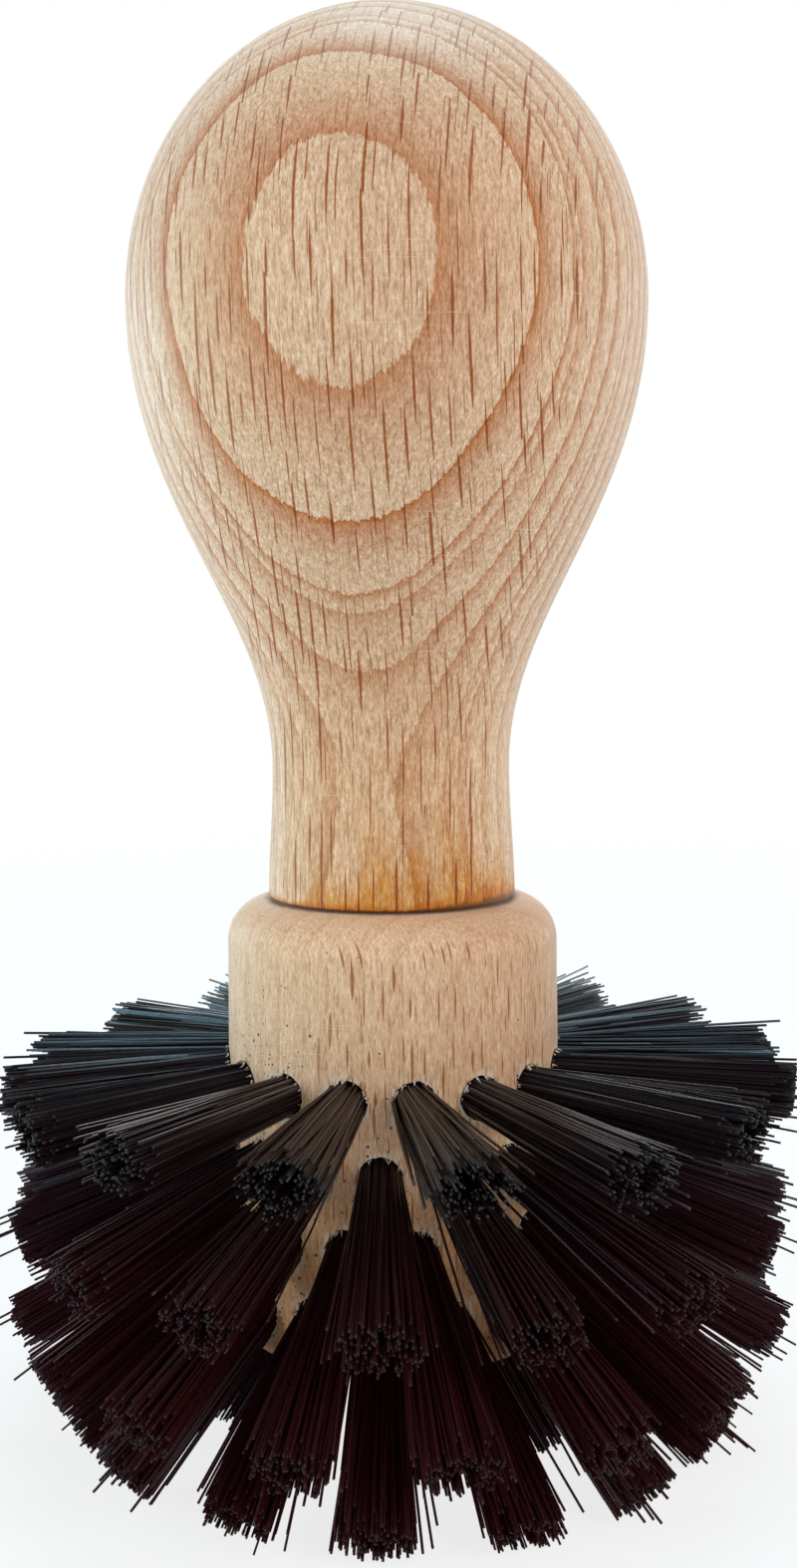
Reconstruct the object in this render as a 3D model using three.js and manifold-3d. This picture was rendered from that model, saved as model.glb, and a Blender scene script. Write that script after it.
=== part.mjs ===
// Portafilter brush: a turned beech handle is glued into a drilled beech head, and the head carries
// rows of stiff tufts, each folded double and held in its hole by a flat steel staple.
// Millimetres, +Z up along the handle. The origin is the centre of the plane that the bristle tips touch.
import * as THREE from "three";
import { ConvexGeometry } from "three/addons/geometries/ConvexGeometry.js";
import { mergeVertices } from "three/addons/utils/BufferGeometryUtils.js";
import Module from "manifold-3d";

// Handle: heights go up from the seam where the neck meets the head
const BULB_RADIUS = 19.4;
const CROWN_RISE = 21.2; // widest ring of the bulb to its top
const BULB_EASE = 15.1; // pull of the curve below the widest ring
const SHOULDER_LENGTH = 34.4; // waist to the widest ring
const WAIST_RADIUS = 9.05;
const WAIST_EASE = 11.8; // pull of the curve above the waist
const NECK_LENGTH = 10.1; // seam to the waist
const NECK_RADIUS = 9.45; // at the seam
const SEAM_CHAMFER = 0.3;
const TENON_RADIUS = 6;
const TENON_LENGTH = 9;
const TENON_CHAMFER = 0.8;

// Head
const HEAD_RADIUS = 12.9;
const COLLAR_ROUND = 3.2; // rounding of the shoulder above the tufts
const COLLAR_DRAFT = 0.25; // how much slimmer the shoulder is than the foot
const FOOT_ROUND = 1.2;
const FOOT_MARGIN = 3.6; // wood below the axis of the last row
const HOLE_DEPTH = 4.2; // wood that each tuft passes through
const SOCKET_WEB = 1.5; // wood between the socket and the core
const FIRST_ROW_COVER = 1.9; // top of the core to the axis of the first row

// Tufts round the head, and under it
const ROW_TUFTS = 16;
const ROW_PITCH = 5.5;
const ROW_TILTS = [0, 18, 27, 36]; // degrees below level, from the top row down
const FIRST_TUFT_ANGLE = 6.8; // degrees from the front of the brush
const BRISTLE_RADIUS = 30; // the rows are trimmed to this radius
const BASE_REACH = 7.2; // foot of the head to the plane of the tips
const BASE_RING_RADIUS = 8;
const BASE_RING_TUFTS = 8;
const BASE_RING_TILT = 58;
const BASE_CENTRE_TILT = 90;

// Strands of one tuft: some columns side by side, on both sides of the staple
const STRAND_COLUMNS = 3;
const STRAND_SIDES = 3;
const STRAND_RADIUS = 0.24; // where the strand leaves the core
const STRAND_SWELL = 0.019; // growth of that radius for each millimetre of length
const STRAND_GAP = 0.1; // between neighbours at the core
const FAN_ACROSS = 0.058; // widening of the columns for each millimetre of length
const FAN_ALONG = 0.042; // parting of the two sides for each millimetre of length
const ROOT_EMBED = 1.2; // strand inside the core
const TIP_FLAT = 0.5; // depth of the flat cut where the brush stands

// Staples
const STAPLE_THICKNESS = 0.35;
const STAPLE_LENGTH = 1.8;

// Fits
const FIT_GAP = 0.3;
const STAPLE_GAP = 0.2; // staple to the strands beside it
const HOLE_CLEARANCE = 0.1; // wall of a hole to its tuft

// Facets
const TURNED_SEGMENTS = 32;
const CURVE_STEPS = 7;
const ROUND_STEPS = 3;
const HOLE_SEGMENTS = 6;

// Heights that follow from the sizes above
const rowCount = ROW_TILTS.length;
const firstRowDepth = TENON_LENGTH + FIT_GAP + SOCKET_WEB + FIT_GAP + FIRST_ROW_COVER;
const headBottom = BASE_REACH;
const headTop = headBottom + FOOT_MARGIN + (rowCount - 1) * ROW_PITCH + firstRowDepth;
const socketFloor = headTop - TENON_LENGTH - FIT_GAP;
const cavityTop = socketFloor - SOCKET_WEB;
const cavityFloor = headBottom + HOLE_DEPTH;
const cavityRadius = HEAD_RADIUS - HOLE_DEPTH;
const tuftStep = (2 * Math.PI) / ROW_TUFTS;
const coreRadius = cavityRadius - FIT_GAP;
const coreFlat = coreRadius * Math.cos(tuftStep / 2); // the core has one flat for each tuft
const wallToCore = HEAD_RADIUS - coreFlat;
const floorToCore = HOLE_DEPTH + FIT_GAP;
const bulbHeight = NECK_LENGTH + SHOULDER_LENGTH;

// Tuft section, as functions of the length along the strand from its root
const triangleInset = Math.cos(Math.PI / STRAND_SIDES);
const triangleHalfWidth = Math.sin(Math.PI / STRAND_SIDES);
const rootSpacing = 2 * STRAND_RADIUS * triangleHalfWidth + STRAND_GAP;
const rootRise = STAPLE_THICKNESS / 2 + STAPLE_GAP + STRAND_RADIUS * triangleInset;
const strandRadiusAt = (length) => STRAND_RADIUS + STRAND_SWELL * length;
const columnSpacingAt = (length) => rootSpacing + FAN_ACROSS * length;
const riseAt = (length) => rootRise + FAN_ALONG * length;

const radians = THREE.MathUtils.degToRad;
const up = new THREE.Vector3(0, 0, 1);

const wasm = await Module();
wasm.setup();

// A closed geometry as a solid that can be joined and cut
function solid(geometry) {
  geometry.deleteAttribute("normal");
  geometry.deleteAttribute("uv");
  const merged = mergeVertices(geometry);
  const vertProperties = new Float32Array(merged.attributes.position.array);
  const triVerts = new Uint32Array(merged.index.array);
  return new wasm.Manifold(new wasm.Mesh({ numProp: 3, vertProperties, triVerts }));
}

// The geometry of a finished solid
function geometryOf(body) {
  const { vertProperties, triVerts } = body.getMesh();
  const geometry = new THREE.BufferGeometry();
  geometry.setAttribute("position", new THREE.BufferAttribute(vertProperties, 3));
  geometry.setIndex(new THREE.BufferAttribute(triVerts, 1));
  geometry.computeVertexNormals();
  return geometry;
}

// A profile of radius and height, turned about Z
function turned(points) {
  return new THREE.LatheGeometry(points, TURNED_SEGMENTS).rotateX(Math.PI / 2);
}

// A plain cylinder about Z between two heights
function disc(radius, bottom, top, segments) {
  const geometry = new THREE.CylinderGeometry(radius, radius, top - bottom, segments);
  return geometry.rotateX(Math.PI / 2).translate(0, 0, (bottom + top) / 2);
}

// Where a tuft leaves the wood, its axis, the direction across it, and the wood behind its mouth
function tuftAt(angle, radius, height, tilt, wallDepth) {
  const outward = new THREE.Vector3(Math.sin(angle), -Math.cos(angle), 0);
  const mouth = outward.clone().multiplyScalar(radius).setZ(height);
  const axis = outward.clone().multiplyScalar(Math.cos(tilt)).addScaledVector(up, -Math.sin(tilt));
  const across = new THREE.Vector3().crossVectors(up, outward);
  const along = new THREE.Vector3().crossVectors(across, axis);
  return { mouth, axis, across, along, wallDepth, rootLength: ROOT_EMBED + wallDepth, freeLength: 0 };
}

// Half the height of a tuft's end, as its value at the mouth and its growth with the free length
const endGrowth = FAN_ALONG + STRAND_SWELL;
const endAtMouth = (tuft) => riseAt(tuft.rootLength) + strandRadiusAt(tuft.rootLength);

// Angle of a row's first tuft: every other row is staggered by half a step
const rowStart = (row) => radians(FIRST_TUFT_ANGLE) + (row % 2) * (tuftStep / 2);

// A row round the head, trimmed to the bristle radius or to where its lowest corner passes the tip plane
function rowTufts(row) {
  const tilt = radians(ROW_TILTS[row]);
  const height = headTop - firstRowDepth - row * ROW_PITCH;
  return Array.from({ length: ROW_TUFTS }, (_, index) => {
    const angle = rowStart(row) + index * tuftStep;
    const tuft = tuftAt(angle, HEAD_RADIUS, height, tilt, wallToCore / Math.cos(tilt));
    const toRadius = (BRISTLE_RADIUS - HEAD_RADIUS) / Math.cos(tilt);
    const drop = height + TIP_FLAT - endAtMouth(tuft) * Math.cos(tilt);
    const toPlane = drop / (Math.sin(tilt) + endGrowth * Math.cos(tilt));
    tuft.freeLength = Math.min(toRadius, toPlane);
    return tuft;
  });
}

// A tuft under the head, long enough for its whole end to pass the tip plane
function baseTuft(angle, radius, tiltDegrees) {
  const tilt = radians(tiltDegrees);
  const tuft = tuftAt(angle, radius, headBottom, tilt, floorToCore / Math.sin(tilt));
  const drop = headBottom + TIP_FLAT + endAtMouth(tuft) * Math.cos(tilt);
  tuft.freeLength = drop / (Math.sin(tilt) - endGrowth * Math.cos(tilt));
  return tuft;
}

// The ring of tufts under the head, and the one in its middle
function baseTufts() {
  const step = (2 * Math.PI) / BASE_RING_TUFTS;
  const ring = Array.from({ length: BASE_RING_TUFTS }, (_, index) =>
    baseTuft(radians(FIRST_TUFT_ANGLE) + index * step, BASE_RING_RADIUS, BASE_RING_TILT),
  );
  return [...ring, baseTuft(0, 0, BASE_CENTRE_TILT)];
}

const rows = ROW_TILTS.map((_, row) => rowTufts(row));
const base = baseTufts();

// A hole has room for the widest tuft at its mouth
const longestRoot = Math.max(...[...rows.flat(), ...base].map((tuft) => tuft.rootLength));
const outerColumn = ((STRAND_COLUMNS - 1) / 2) * columnSpacingAt(longestRoot);
const bundleRadius = Math.hypot(outerColumn, riseAt(longestRoot) + strandRadiusAt(longestRoot));
const holeRadius = bundleRadius + HOLE_CLEARANCE; // across the flats of the hole

// Heights where the core is parted between one row and the next
const entryHeights = rows.map(([tuft]) => tuft.mouth.z - tuft.wallDepth * tuft.axis.z);
const partings = entryHeights.slice(1).map((height, row) => (height + entryHeights[row]) / 2);

// A point in a tuft: distance along its axis from the mouth, then across it and along its rise
function inTuft(tuft, distance, across, rise) {
  return tuft.mouth
    .clone()
    .addScaledVector(tuft.axis, distance)
    .addScaledVector(tuft.across, across)
    .addScaledVector(tuft.along, rise);
}

// Corners of a strand's three-sided section at a length from its root, with a flat side towards the staple
function strandSection(tuft, column, side, length) {
  const radius = strandRadiusAt(length);
  return Array.from({ length: STRAND_SIDES }, (_, corner) => {
    const turn = (2 * Math.PI * corner) / STRAND_SIDES;
    const across = column * columnSpacingAt(length) + radius * Math.sin(turn);
    const rise = side * (riseAt(length) + radius * Math.cos(turn));
    return inTuft(tuft, length - tuft.rootLength, across, rise);
  });
}

// One strand: a straight spike from its root in the core to its tip
function strand(tuft, column, side) {
  const root = strandSection(tuft, column, side, 0);
  const tip = strandSection(tuft, column, side, tuft.rootLength + tuft.freeLength);
  return new ConvexGeometry([...root, ...tip]);
}

// All strands of one tuft
function strands(tuft) {
  const middle = (STRAND_COLUMNS - 1) / 2;
  const columns = Array.from({ length: STRAND_COLUMNS }, (_, index) => index - middle);
  return columns.flatMap((column) => [-1, 1].map((side) => strand(tuft, column, side)));
}

// The bore for one tuft, from inside the core's cavity to outside the wood
function bore(tuft) {
  const length = 2 * tuft.rootLength;
  const circumradius = holeRadius / Math.cos(Math.PI / HOLE_SEGMENTS);
  const place = new THREE.Matrix4().makeBasis(tuft.across, tuft.axis, tuft.along);
  place.setPosition(tuft.mouth);
  return new THREE.CylinderGeometry(circumradius, circumradius, length, HOLE_SEGMENTS).applyMatrix4(place);
}

function handleGeometry() {
  const profile = new THREE.Path();
  profile.moveTo(0, -TENON_LENGTH);
  profile.lineTo(TENON_RADIUS - TENON_CHAMFER, -TENON_LENGTH);
  profile.lineTo(TENON_RADIUS, TENON_CHAMFER - TENON_LENGTH);
  profile.lineTo(TENON_RADIUS, 0);
  profile.lineTo(NECK_RADIUS - SEAM_CHAMFER, 0);
  profile.lineTo(NECK_RADIUS, SEAM_CHAMFER);
  const neckThird = NECK_LENGTH / 3;
  profile.bezierCurveTo(NECK_RADIUS, neckThird, WAIST_RADIUS, 2 * neckThird, WAIST_RADIUS, NECK_LENGTH);
  const aboveWaist = NECK_LENGTH + WAIST_EASE;
  const belowBulb = bulbHeight - BULB_EASE;
  profile.bezierCurveTo(WAIST_RADIUS, aboveWaist, BULB_RADIUS, belowBulb, BULB_RADIUS, bulbHeight);
  profile.absellipse(0, bulbHeight, BULB_RADIUS, CROWN_RISE, 0, Math.PI / 2);
  return turned(profile.getPoints(CURVE_STEPS));
}

function headGeometry() {
  const shoulderRadius = HEAD_RADIUS - COLLAR_DRAFT;
  const socketRadius = TENON_RADIUS + FIT_GAP;
  const profile = new THREE.Path();
  profile.moveTo(0, headBottom);
  profile.lineTo(HEAD_RADIUS - FOOT_ROUND, headBottom);
  profile.absarc(HEAD_RADIUS - FOOT_ROUND, headBottom + FOOT_ROUND, FOOT_ROUND, -Math.PI / 2, 0);
  profile.lineTo(shoulderRadius, headTop - COLLAR_ROUND);
  profile.absarc(shoulderRadius - COLLAR_ROUND, headTop - COLLAR_ROUND, COLLAR_ROUND, 0, Math.PI / 2);
  profile.lineTo(socketRadius, headTop);
  profile.lineTo(socketRadius, socketFloor);
  profile.lineTo(0, socketFloor);
  const blank = solid(turned(profile.getPoints(ROUND_STEPS)));
  const hollow = blank.subtract(solid(disc(cavityRadius, cavityFloor, cavityTop, TURNED_SEGMENTS)));
  const drilled = [...rows.flat(), ...base].reduce((wood, tuft) => wood.subtract(solid(bore(tuft))), hollow);
  return geometryOf(drilled);
}

// The strands of some tufts on their slice of the core, cut flat at the tip plane
function bristleGeometry(row, tufts, bottom, top) {
  const facing = rowStart(row) + tuftStep / 2;
  const slice = solid(disc(coreRadius, bottom, top, ROW_TUFTS).rotateZ(facing));
  const brush = tufts.flatMap(strands).reduce((body, spike) => body.add(solid(spike)), slice);
  const width = 2 * (BRISTLE_RADIUS + HEAD_RADIUS);
  const above = new THREE.BoxGeometry(width, width, headTop).translate(0, 0, headTop / 2);
  return geometryOf(brush.intersect(solid(above)));
}

const beech = () => new THREE.MeshStandardMaterial({ color: "#d9b58c", roughness: 0.6, metalness: 0 });
const filament = () => new THREE.MeshStandardMaterial({ color: "#120f10", roughness: 0.45, metalness: 0 });
const steel = () => new THREE.MeshStandardMaterial({ color: "#a9abae", roughness: 0.35, metalness: 1 });

const group = new THREE.Group();

function addMesh(name, geometry, material) {
  const mesh = new THREE.Mesh(geometry, material);
  mesh.name = name;
  group.add(mesh);
  return mesh;
}

// A flat staple across the fold of one tuft
function addStaple(name, tuft) {
  const width = 2 * (holeRadius - FIT_GAP);
  const mesh = addMesh(name, new THREE.BoxGeometry(width, STAPLE_LENGTH, STAPLE_THICKNESS), steel());
  mesh.position.copy(inTuft(tuft, FIT_GAP + STAPLE_LENGTH / 2 - tuft.wallDepth, 0, 0));
  const turn = new THREE.Matrix4().makeBasis(tuft.across, tuft.axis, tuft.along);
  mesh.quaternion.setFromRotationMatrix(turn);
}

addMesh("handle", handleGeometry(), beech()).position.z = headTop;
addMesh("brush_head", headGeometry(), beech());

// Each row has its slice of the core, and the last row shares its slice with the tufts under the head
rows.forEach((tufts, row) => {
  const isLast = row === rowCount - 1;
  const top = row === 0 ? cavityTop - FIT_GAP : partings[row - 1] - FIT_GAP / 2;
  const bottom = isLast ? cavityFloor + FIT_GAP : partings[row] + FIT_GAP / 2;
  const carried = isLast ? [...tufts, ...base] : tufts;
  const name = isLast ? "bristles_last_row_and_base" : `bristles_row_${row + 1}`;
  addMesh(name, bristleGeometry(row, carried, bottom, top), filament());
});

// One staple in each hole of the rows above the last one
rows.slice(0, -1).forEach((tufts, row) => {
  tufts.forEach((tuft, index) => {
    const number = String(index + 1).padStart(2, "0");
    addStaple(`row_${row + 1}_staple_${number}`, tuft);
  });
});

export default group;
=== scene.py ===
"""Portafilter brush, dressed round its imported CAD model.

A turned beech handle is glued into a drilled beech head. The head carries rows of straight black
filaments in tufts, and each tuft is held in its hole by a flat steel staple.
"""

from __future__ import annotations

import logging
import math
from dataclasses import dataclass
from enum import Enum
from functools import cache
from typing import Any, Callable, Optional, Sequence, Union

import bpy
import numpy as np
from mathutils import Matrix, Vector


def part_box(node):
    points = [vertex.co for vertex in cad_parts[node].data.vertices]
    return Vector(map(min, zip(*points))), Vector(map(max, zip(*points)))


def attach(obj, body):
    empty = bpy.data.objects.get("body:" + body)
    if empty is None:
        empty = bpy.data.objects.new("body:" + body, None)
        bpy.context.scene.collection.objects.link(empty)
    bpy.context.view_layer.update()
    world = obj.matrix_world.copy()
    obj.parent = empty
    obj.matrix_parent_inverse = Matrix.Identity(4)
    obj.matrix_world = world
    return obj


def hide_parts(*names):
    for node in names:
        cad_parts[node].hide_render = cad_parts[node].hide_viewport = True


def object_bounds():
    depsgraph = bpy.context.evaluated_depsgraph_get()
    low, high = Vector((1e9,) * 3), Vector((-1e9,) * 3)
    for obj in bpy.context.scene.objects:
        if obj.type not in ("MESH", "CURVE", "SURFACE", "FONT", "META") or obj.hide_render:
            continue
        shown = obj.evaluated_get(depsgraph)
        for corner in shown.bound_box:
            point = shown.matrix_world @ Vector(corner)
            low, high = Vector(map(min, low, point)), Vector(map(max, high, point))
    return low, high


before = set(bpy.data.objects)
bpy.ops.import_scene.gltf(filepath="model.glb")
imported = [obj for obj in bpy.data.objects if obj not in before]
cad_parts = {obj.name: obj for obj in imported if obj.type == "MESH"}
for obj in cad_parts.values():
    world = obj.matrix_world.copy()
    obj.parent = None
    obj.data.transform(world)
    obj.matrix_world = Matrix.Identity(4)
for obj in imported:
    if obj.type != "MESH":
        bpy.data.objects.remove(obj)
CAD_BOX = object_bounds()

MM = 0.001
BODY = "root"
GOLDEN_ANGLE = math.pi * (3.0 - math.sqrt(5.0))
HEAD_RADIUS = 12.9 * MM
HOLE_RADIUS = 1.62 * MM
NECK_RADIUS = 9.45 * MM
LOG = logging.getLogger("portafilter_brush")

# Where the colour sockets of a Mix node and the number sockets of a Random Value node stand
MIX_COLOURS = (6, 7)
MIX_RESULT = 2
RANDOM_LIMITS = (2, 3)
RANDOM_RESULT = 1

Triple = tuple[float, float, float]
Colour = Triple
Span = tuple[float, float]
Profile = list[tuple[float, float]]
Inputs = dict[Union[str, int], Any]
Tree = bpy.types.NodeTree
Material = bpy.types.Material
Piece = bpy.types.Object


class TreeKind(Enum):
    """The kinds of node tree that the brush uses."""

    SHADER = "ShaderNodeTree"
    GEOMETRY = "GeometryNodeTree"


class SocketKind(Enum):
    """The kinds of socket on the outside of a node group."""

    NUMBER = "NodeSocketFloat"
    WHOLE = "NodeSocketInt"
    VECTOR = "NodeSocketVector"
    GEOMETRY = "NodeSocketGeometry"
    MATERIAL = "NodeSocketMaterial"


class Slot(Enum):
    """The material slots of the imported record."""

    BEECH = "beech"
    FILAMENT = "filament"
    STEEL = "staple_steel"


Ports = dict[str, SocketKind]


def numbers(*names: str) -> Ports:
    """Name sockets for plain numbers."""
    return dict.fromkeys(names, SocketKind.NUMBER)


def vectors(*names: str) -> Ports:
    """Name sockets for vectors."""
    return dict.fromkeys(names, SocketKind.VECTOR)


def operator(operation: str, flipped: bool = False) -> Callable[..., Field]:
    """Make a method of a field.

    Args:
        operation: What a Math or Vector Math node calls it.
        flipped: Whether the field comes after the other value.

    Returns:
        The method, which takes the other value if the operation has one.
    """

    def method(self: Field, *others: Operand) -> Field:
        """Join the field and the other value."""
        return self.graph.join(operation, *((*others, self) if flipped else (self, *others)))

    return method


class Field:
    """A number, vector, colour or geometry that a node puts out, with the arithmetic on it."""

    __add__ = __radd__ = operator("ADD")
    __sub__ = operator("SUBTRACT")
    __rsub__ = operator("SUBTRACT", flipped=True)
    __mul__ = __rmul__ = operator("MULTIPLY")
    __truediv__ = operator("DIVIDE")
    __rtruediv__ = operator("DIVIDE", flipped=True)
    __pow__ = operator("POWER")
    __abs__ = operator("ABSOLUTE")
    __gt__ = operator("GREATER_THAN")
    __lt__ = operator("LESS_THAN")
    at_least = operator("MAXIMUM")
    at_most = operator("MINIMUM")
    sine = operator("SINE")
    cosine = operator("COSINE")
    square_root = operator("SQRT")
    floor = operator("FLOOR")
    fraction = operator("FRACT")
    length = operator("LENGTH")
    unit = operator("NORMALIZE")
    dot = operator("DOT_PRODUCT")
    cross = operator("CROSS_PRODUCT")

    def __init__(self, graph: Graph, socket: bpy.types.NodeSocket) -> None:
        """Keep the output socket and the graph that it belongs to."""
        self.graph = graph
        self.socket = socket

    def parts(self) -> list[Field]:
        """Split a vector into its three numbers."""
        return self.graph.outputs("ShaderNodeSeparateXYZ", {0: self})

    def fade(self, low: Operand, high: Operand, bottom: float = 0.0, top: float = 1.0) -> Field:
        """Ease from one number to another.

        Args:
            low: Where the fade starts.
            high: Where it ends, which may be below the start.
            bottom: The result before the start.
            top: The result after the end.

        Returns:
            The eased number.
        """
        inputs = {"Value": self, "From Min": low, "From Max": high, "To Min": bottom, "To Max": top}
        return self.graph.made("ShaderNodeMapRange", inputs, interpolation_type="SMOOTHSTEP")

    def noise(
        self, grain: Operand, detail: float = 2.0, roughness: float = 0.5, output: Union[str, int] = 0
    ) -> Field:
        """Look up noise with so many features to a unit of length, about 0.5 on average."""
        inputs = {"Vector": self * grain, "Scale": 1.0, "Detail": detail, "Roughness": roughness}
        return self.graph.made("ShaderNodeTexNoise", inputs, output)

    def swung(self, reach: float) -> Field:
        """Turn a share from 0 to 1 into a swing by the reach to either side of zero."""
        return (self - 0.5) * (2.0 * reach)

    def raised(self, least: float) -> Field:
        """Squeeze a share from 0 to 1 into the span from a least share to 1."""
        return self * (1.0 - least) + least

    def cells(self, disorder: float = 1.0) -> list[Field]:
        """Scatter a point in each unit cell. Give the nearest one's distance, random numbers and place."""
        inputs = {"Vector": self, "Scale": 1.0, "Randomness": disorder}
        return self.graph.outputs("ShaderNodeTexVoronoi", inputs)[:3]

    def covered(self, colour: Operand, share: Operand) -> Field:
        """Lay a share of a second colour over this one."""
        return self.graph.blend(share, self, colour)

    def tinted(self, colour: Operand, share: Operand) -> Field:
        """Multiply this colour by a share of a second one."""
        return self.graph.blend(share, self, colour, "MULTIPLY")


Operand = Union[Field, float, tuple]


def is_vector(value: Operand) -> bool:
    """Tell whether a value carries three numbers."""
    return isinstance(value, tuple) or isinstance(value, Field) and value.socket.type in ("VECTOR", "RGBA")


class Graph:
    """A node tree under construction."""

    def __init__(self, tree: Tree) -> None:
        """Keep the tree that nodes are added to."""
        self.tree = tree

    def feed(self, node: bpy.types.Node, inputs: Inputs) -> None:
        """Feed a node.

        Args:
            node: The node.
            inputs: A field to link or a plain value to set, by the input's name or number.
        """
        for key, value in inputs.items():
            if isinstance(value, Field):
                self.tree.links.new(value.socket, node.inputs[key])
            else:
                node.inputs[key].default_value = value

    def node(self, kind: str, inputs: Optional[Inputs] = None, **settings: Any) -> bpy.types.Node:
        """Add a node.

        Args:
            kind: Blender's name for the node.
            inputs: What to feed it.
            settings: Properties to set on it first.

        Returns:
            The new node.
        """
        made = self.tree.nodes.new(kind)
        for name, value in settings.items():
            setattr(made, name, value)
        self.feed(made, inputs or {})
        return made

    def outputs(self, kind: str, inputs: Optional[Inputs] = None, **settings: Any) -> list[Field]:
        """Add a node as above and take its outputs in order."""
        return [Field(self, socket) for socket in self.node(kind, inputs, **settings).outputs]

    def made(
        self, kind: str, inputs: Optional[Inputs] = None, output: Union[str, int] = 0, **settings: Any
    ) -> Field:
        """Add a node as above and take the output of the given name or number."""
        return Field(self, self.node(kind, inputs, **settings).outputs[output])

    def use(self, tree: Tree, *values: Any) -> list[Field]:
        """Place a node group, feed its inputs in order and take its outputs in order."""
        return self.outputs(tree.bl_idname.replace("Tree", "Group"), dict(enumerate(values)), node_tree=tree)

    def join(self, operation: str, *values: Operand) -> Field:
        """Join numbers or vectors.

        Args:
            operation: What a Math or Vector Math node calls it.
            values: The values in order.

        Returns:
            The result of a Vector Math node if any value is a vector, or else of a Math node.
        """
        are_vectors = [is_vector(value) for value in values]
        inputs = dict(enumerate(values))
        if not any(are_vectors):
            return self.made("ShaderNodeMath", inputs, operation=operation)
        output = "Value" if operation in ("LENGTH", "DOT_PRODUCT") else "Vector"
        if operation == "MULTIPLY" and not all(are_vectors):
            vector, factor = values if are_vectors[0] else values[::-1]
            operation, inputs = "SCALE", {"Vector": vector, "Scale": factor}
        return self.made("ShaderNodeVectorMath", inputs, output, operation=operation)

    def xyz(self, x: Operand = 0.0, y: Operand = 0.0, z: Operand = 0.0) -> Field:
        """Join three numbers into a vector."""
        return self.made("ShaderNodeCombineXYZ", {"X": x, "Y": y, "Z": z})

    def blend(self, share: Operand, under: Operand, over: Operand, blend_type: str = "MIX") -> Field:
        """Mix two colours.

        Args:
            share: How much of the second colour shows.
            under: The first colour.
            over: The second colour.
            blend_type: Blender's name for the way of mixing.

        Returns:
            The mixed colour.
        """
        inputs: Inputs = {0: share}
        for key, colour in zip(MIX_COLOURS, (under, over)):
            inputs[key] = colour if isinstance(colour, Field) else (*colour, 1.0)
        return self.made("ShaderNodeMix", inputs, MIX_RESULT, data_type="RGBA", blend_type=blend_type)


class GroupGraph(Graph):
    """A node group under construction, with named inputs and outputs."""

    def __init__(self, name: str, kind: TreeKind, inputs: Ports, outputs: Ports) -> None:
        """Make an empty group.

        Args:
            name: The group's name.
            kind: Shader or geometry.
            inputs: The sockets that feed the group.
            outputs: The sockets that it puts out.
        """
        super().__init__(bpy.data.node_groups.new(name, kind.value))
        for direction, ports in (("INPUT", inputs), ("OUTPUT", outputs)):
            for port, socket_kind in ports.items():
                self.tree.interface.new_socket(port, in_out=direction, socket_type=socket_kind.value)
        self.entry = self.node("NodeGroupInput")

    def given(self, *names: str) -> list[Field]:
        """Take the group's inputs of the given names."""
        return [Field(self, self.entry.outputs[name]) for name in names]

    def put_out(self, *values: Field) -> Tree:
        """Feed the group's outputs in order and return the finished tree."""
        self.node("NodeGroupOutput", dict(enumerate(values)))
        return self.tree


class Coat(Graph):
    """A material under construction."""

    def __init__(self, name: str) -> None:
        """Make a material with its plain shader.

        Args:
            name: The material's name.
        """
        self.material = bpy.data.materials.new(name)
        self.material.use_nodes = True
        super().__init__(self.material.node_tree)

    def coordinates(self, kind: str = "Object") -> Field:
        """Take the place or the normal, in the object's own axes."""
        return self.made("ShaderNodeTexCoord", output=kind)

    def place(self) -> Field:
        """Take the place on the brush, in millimetres."""
        return self.coordinates() * (1.0 / MM)

    def kept(self, name: str) -> Field:
        """Read a number that the mesh keeps under a name."""
        return self.made("ShaderNodeAttribute", output="Fac", attribute_name=name)

    def dress(self, inputs: Inputs) -> Material:
        """Feed the shader and return the finished material."""
        self.feed(self.tree.nodes["Principled BSDF"], inputs)
        return self.material


@cache
def ray_fleck_group() -> Tree:
    """Make the group for the medullary rays of beech.

    The place is in millimetres, with x round the growth rings, y through them and z along the grain.

    Returns:
        A shader group that puts out a mask of thin upright flecks.
    """
    least_length = 0.35
    least_width = 0.4
    sinking = 1.15
    upright_draw = 0.45
    lean_slope = 0.03
    core_share = 0.5
    thinnest = 0.008
    inputs = {**vectors("Place", "Spacing"), **numbers("Width", "Length", "Share")}
    graph = GroupGraph("ray_flecks", TreeKind.SHADER, inputs, numbers("Mask"))
    place, spacing, width, length, share = graph.given(*inputs)
    _, draws, centre = (place / spacing).cells(disorder=0.85)
    across, through, along = (place - centre * spacing).parts()
    draw_width, draw_length, draw_share = draws.parts()
    position = along / (length * draw_length.raised(least_length) * 0.5)
    sunk = through / spacing.parts()[1] * sinking
    taper = (1.0 - position * position - sunk * sunk).at_least(0.0)
    half_width = width * draw_width.raised(least_width) * 0.5 * taper
    lean = (draw_share - upright_draw) * lean_slope
    body = abs(across + along * lean).fade(half_width, half_width * core_share)
    return graph.put_out(body * (draw_share < share) * (half_width > thinnest))


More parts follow.
